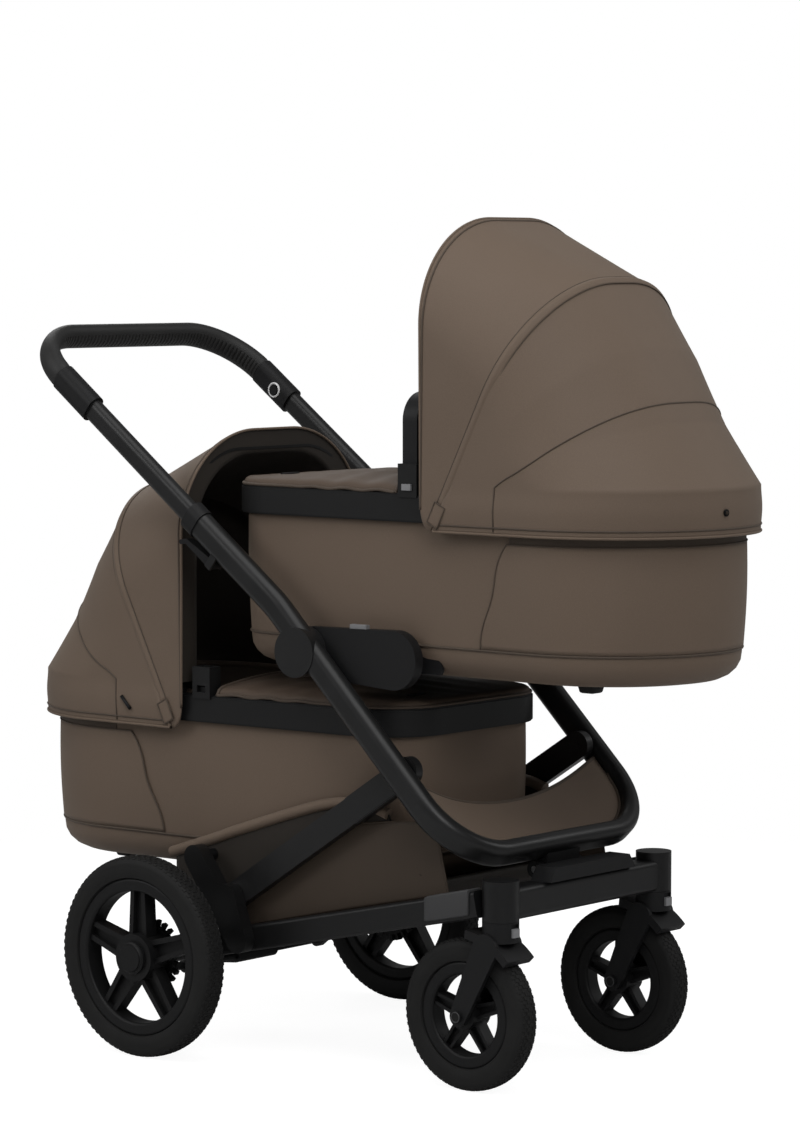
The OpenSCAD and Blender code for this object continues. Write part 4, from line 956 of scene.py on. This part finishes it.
def apron(cot):
    place = cot_place(cot)

    def apron_spot(u, v):
        x = apron_foot + (apron_end - apron_foot) * u
        across = 2 * v - 1
        half = half_width(x, apron_inset)
        edge = min((1 - abs(across)) * half, x - apron_foot)
        roll = sqrt(max(0, 1 - (1 - min(1, edge / apron_roll_r)) ** 2))
        crown = apron_crown * (1 - abs(across) ** 3) * ease(u * 1.6)
        folds = fold_rise * sin(21 * across + 9 * u) * sin(pi * u) * (1 - abs(across))
        ripples = ripple_rise * sin(34 * u + 4 * across) * ease(u * 3 - 1)
        return place(x, across * half, apron_up + apron_roll * roll + crown + folds + ripples)

    bm = bmesh.new()
    cloth(bm, 70, 70, apron_spot, (0.35, 0.38))
    face_out(bm, place(-0.2, 0, -0.3))
    cut = area_of(bm)
    rolled = [apron_spot(1 - k / 70, 0) for k in range(71)]
    rolled += [apron_spot(0, k / 70) for k in range(1, 70)]
    rolled += [apron_spot(k / 70, 1) for k in range(71)]
    piping(bm, [spot + Vector((0, 0, 0.0015)) for spot in rolled], 0.0022, 1, sides=3)
    piping(bm, [apron_spot(1, k / 70) for k in range(71)], 0.0026, 1, sides=3)
    slot_ends = [apron_spot(0.15, v) + Vector((0, 0, 0.0004)) for v in (0.21, 0.32)]
    piping(bm, slot_ends, 0.0022, 2, sides=1)
    # The apron takes the darker copy of the canvas: painted shade.
    made = new_piece(f"{cot}_apron_cover", bm, [apron_painted_shade, cloth_seam, plastic_black])
    thicken(made, 0.0018)
    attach(made, f"{cot}_cot")
    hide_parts(f"{cot}_apron")
    cut / 0.38 * 1.06


for cot in cots:
    apron(cot)


# Hoods: canvas panels sewn into one fan and pulled straight from bow to bow, lined with dark cloth.
# A pocket band runs over the middle bow, a curved seam crosses the back, and a stiff hem goes round the head.
pivot_at, pivot_up = 0.041, 0.014
hood_half, hem_low, hem_round, front_foot = 0.2030, -0.050, 0.032, 0.0115
front_turn, pleat_turn, mid_turn, seam_turn = 95.0, 78.0, 60.0, 17.0
pleat_back, pleat_ahead, back_reach = 0.102, 0.022, 0.22
seam_foot, seam_bend, seam_way, seam_low, seam_high = 0.085, 0.035, 0.41, 4, 19
hem_share, hem_swell, hem_corner, hem_top, hem_edge = 0.84, 0.0018, 0.09, 0.92, 0.99
lip_share, lining_under, lining_foot = 0.1, 0.0335, 0.036
band_wide, band_rise, band_swell, band_foot = 0.0150, 0.0004, 0.0012, -0.032
tab_wide, tab_low, tab_tall, tab_out = 0.0200, -0.0620, 0.0320, 0.0020
arches = (
    (0.0, 0.3575, 0.1965, 0.1965), (seam_turn, 0.3030, 0.1820, 0.1840), (39.0, 0.3010, 0.1810, 0.1840),
    (mid_turn, 0.3295, 0.1780, 0.1840), (front_turn, 0.3725, 0.1500, 0.1600))
fan_at = 0.0617


def crest_spot(turn):
    """Top of the hood at a fan angle, on the line from bow to bow, and its shoulder's height and width."""
    for (a0, r0, *round0), (a1, r1, *round1) in zip(arches, arches[1:]):
        if turn <= a1:
            break
    t = (turn - a0) / (a1 - a0)
    x = (1 - t) * r0 * cos(radians(a0)) + t * r1 * cos(radians(a1))
    z = (1 - t) * r0 * sin(radians(a0)) + t * r1 * sin(radians(a1))
    return pivot_at + x, pivot_up + z, *(b + (c - b) * t for b, c in zip(round0, round1))


band_way = Vector((crest_spot(mid_turn)[0] - fan_at, crest_spot(mid_turn)[1] - pivot_up)).normalized()
band_back = band_way.x / band_way.y


def hood_base(turn):
    """Where the cloth starts, as (x, z): behind the pivot at the back, round a soft corner at the front."""
    if turn <= mid_turn:
        return fan_at, pivot_up
    angle = (turn - mid_turn) / (front_turn - mid_turn) * pi / 2
    back_foot = fan_at - (pivot_up - hem_low) * band_back
    return back_foot + (front_foot - back_foot) * sin(angle), hem_low + hem_round * (1 - cos(angle))


def hood_spot(turn, share, out, start=0.0):
    """Point of the hood in the cot's own frame, at a fan angle and a share of the arch, lifted off by out."""
    x0, z0 = hood_base(turn)
    x1, z1, turn_r, turn_w = crest_spot(turn)
    tall = hypot(x1 - x0, z1 - z0)
    run, rise = (x1 - x0) / tall, (z1 - z0) / tall
    tall, wide, turn_r, turn_w = tall + out, hood_half + out, turn_r + out, turn_w + out
    leg, bend, flat = tall - turn_r - start, (turn_r + turn_w) * pi / 4, wide - turn_w
    way = share * 2 * (leg + bend + flat)
    mirror = -1
    if way > leg + bend + flat:
        way, mirror = 2 * (leg + bend + flat) - way, 1
    if way < leg:
        side, up = wide, start + way
    elif way < leg + bend:
        a = (way - leg) / bend * pi / 2
        side, up = flat + turn_w * cos(a), tall - turn_r + turn_r * sin(a)
    else:
        side, up = flat - (way - leg - bend), tall
    return x0 + run * up, mirror * side, z0 + rise * up


def hood_blend(made, cot, front):
    """Bakes a hood panel's placement into its mesh; the line it would turn about is worked out but not used.
    """
    way = 1 if cot == "upper" else -1
    pivot = cot_place(cot)(pivot_at, 0, pivot_up)
    if front:
        lean_to = Vector((-way * sin(radians(pleat_turn)), 0, cos(radians(pleat_turn))))
        pivot - lean_to * pleat_back
        pivot + lean_to * pleat_ahead
        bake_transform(made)
    else:
        lean_to = Vector((-way * band_way.y, 0, band_way.x))
        pivot - lean_to * back_reach
        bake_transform(made)


def hood(cot):
    place = cot_place(cot)
    inside = place(0.12, 0, 0.05)

    def front_spot(u, v):
        return place(*hood_spot(front_turn + (mid_turn - front_turn) * u, v, -0.0012 * u))

    bm = bmesh.new()
    cloth(bm, 36, 120, front_spot, (0.21, 0.9))
    face_out(bm, inside)
    cut = area_of(bm)
    piping(bm, [place(*hood_spot(front_turn, k / 160, -0.0006)) for k in range(161)], 0.0020, 0, sides=3)
    piping(bm, [place(*hood_spot(front_turn - 1.5, k / 160, 0.0001)) for k in range(161)], 0.0006, 2, sides=1)
    made = new_piece(f"{cot}_hood_front_panel", bm, [cloth_brown, cloth_dark, cloth_seam])
    thicken(made, 0.0022, 1, even=False)
    hood_blend(made, cot, True)
    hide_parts(f"{cot}_hood_front")

    def lining_spot(u, v):
        turn = front_turn - 0.3 - (front_turn - mid_turn - 2) * max(0, u - lip_share) / (1 - lip_share)
        return place(*hood_spot(turn, v, -0.0010 - lining_under * ease(u / lip_share), lining_foot))

    bm = bmesh.new()
    cloth(bm, 40, 100, lining_spot, (0.21, 0.85))
    face_out(bm, inside, True)
    inner = new_piece(f"{cot}_hood_front_lining", bm, [cloth_dark])
    hood_blend(inner, cot, True)
    cut / 0.90 * 1.3

    def rear_spot(u, v):
        if u <= hem_share:
            return place(*hood_spot(mid_turn * (1 - u / hem_share), v, 0.0, 0.002))
        t = (u - hem_share) / (1 - hem_share)
        x, y, z = hood_spot(0, v, hem_swell * sin(pi * t) ** 2, 0.002)
        drop = (pivot_up - hem_low) * t
        corner = ease(1 - min(v, 1 - v) / hem_corner)
        return place(x - drop * band_back * corner, y, z - drop)

    bm = bmesh.new()
    cloth(bm, 100, 120, rear_spot, (0.42, 0.85))
    face_out(bm, inside)
    cut = area_of(bm)
    seam = []
    for k in range(161):
        near = min(k, 160 - k) / 160 - seam_foot
        if near >= 0:
            turn = seam_low * (1 - max(0, 1 - near / seam_bend) ** 2)
            turn += seam_high * (1 - max(0, 1 - near / seam_way) ** 3)
            seam.append(place(*hood_spot(turn, k / 160, 0.0001, 0.002)))
    foot = [rear_spot(u, seam_foot) for u in (hem_edge, hem_top)]
    far_foot = [rear_spot(u, 1 - seam_foot) for u in (hem_top, hem_edge)]
    piping(bm, foot + seam + far_foot, 0.0009, 2)
    piping(bm, [rear_spot(1, k / 160) for k in range(161)], 0.0020, 0, sides=3)
    piping(bm, [rear_spot(0.976, k / 160) for k in range(161)], 0.0006, 2, sides=1)
    stud = rear_spot(hem_top, 0.478)
    stud_way = (stud - place(0.2, 0, stud.z - place(0, 0, 0).z)).normalized()
    piping(bm, [stud, stud + stud_way * 0.0025], 0.0050, 4, sides=4)
    piping(bm, [stud, stud + stud_way * 0.0034], 0.0024, 2, sides=3)
    near_side = cot == "lower"
    pull = [rear_spot(0.945, 0.058 if near_side else 0.942), rear_spot(0.90, 0.072 if near_side else 0.928)]
    piping(bm, [at + Vector((0, -0.0022 if near_side else 0.0022, 0)) for at in pull], 0.0026, 4, sides=2)
    looks = [cloth_brown, cloth_dark, cloth_seam, cloth_seam, plastic_black]
    rear = new_piece(f"{cot}_hood_rear_panel", bm, looks)
    thicken(rear, 0.0022, 1, even=False)
    hood_blend(rear, cot, False)
    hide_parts(f"{cot}_hood_rear")

    def band_spot(u, v):
        aside = band_wide * (u - 0.5)
        fall = 0.36 * max(0, -aside) + 0.13 * max(0, aside)
        out = band_rise + band_swell * max(0, sin(pi * u)) ** 0.5 - fall
        x, y, z = hood_spot(mid_turn, v, out, band_foot)
        return place(x - band_way.y * aside, y, z + band_way.x * aside)

    bm = bmesh.new()
    cloth(bm, 8, 140, band_spot, (0.015, 0.85))
    # Dark cords edge the band; the thicker one is partly a real edge and partly painted shade for the gap
    # under it.
    for u, cord in ((0.0, 0.0006), (1.0, 0.0009)):
        piping(bm, [band_spot(u, k / 140) for k in range(141)], cord, 1, sides=1)
    for end in (0, 1):
        cloth(bm, 6, 10, lambda u, v: tab_spot(cot, end, u, v), (0.016, 0.030))
        edge = [tab_spot(cot, end, u, v) for u, v in ((0, 0), (0, 1), (1, 1), (1, 0))]
        piping(bm, edge, 0.0007, 1, closed=True, sides=1)
    face_out(bm, inside)
    pocket = new_piece(f"{cot}_hood_bow_pocket", bm, [cloth_brown, cloth_seam])
    thicken(pocket, 0.0012)
    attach(pocket, f"{cot}_hood_mid")
    cut / 0.85 * 1.3


def tab_spot(cot, end, u, v):
    """Point of the folded tab that covers the foot of the bow pocket on one side."""
    aside, up = tab_wide * (u - 0.5), tab_low + tab_tall * v
    side = (hood_half + tab_out) * (1 if end else -1)
    x, z = fan_at + band_way.x * up - band_way.y * aside, pivot_up + band_way.y * up + band_way.x * aside
    return cot_place(cot)(x, side, z)


for cot in cots:
    hood(cot)


# Carry handle: a flat nylon bow that plugs into the two sockets of the upper rim.
# A release button sits at each socket, and the lower cot's sockets are empty.
dress(plastic_black, "carry_handle")
dress(button_grey, "carry_button_left", "carry_button_right")
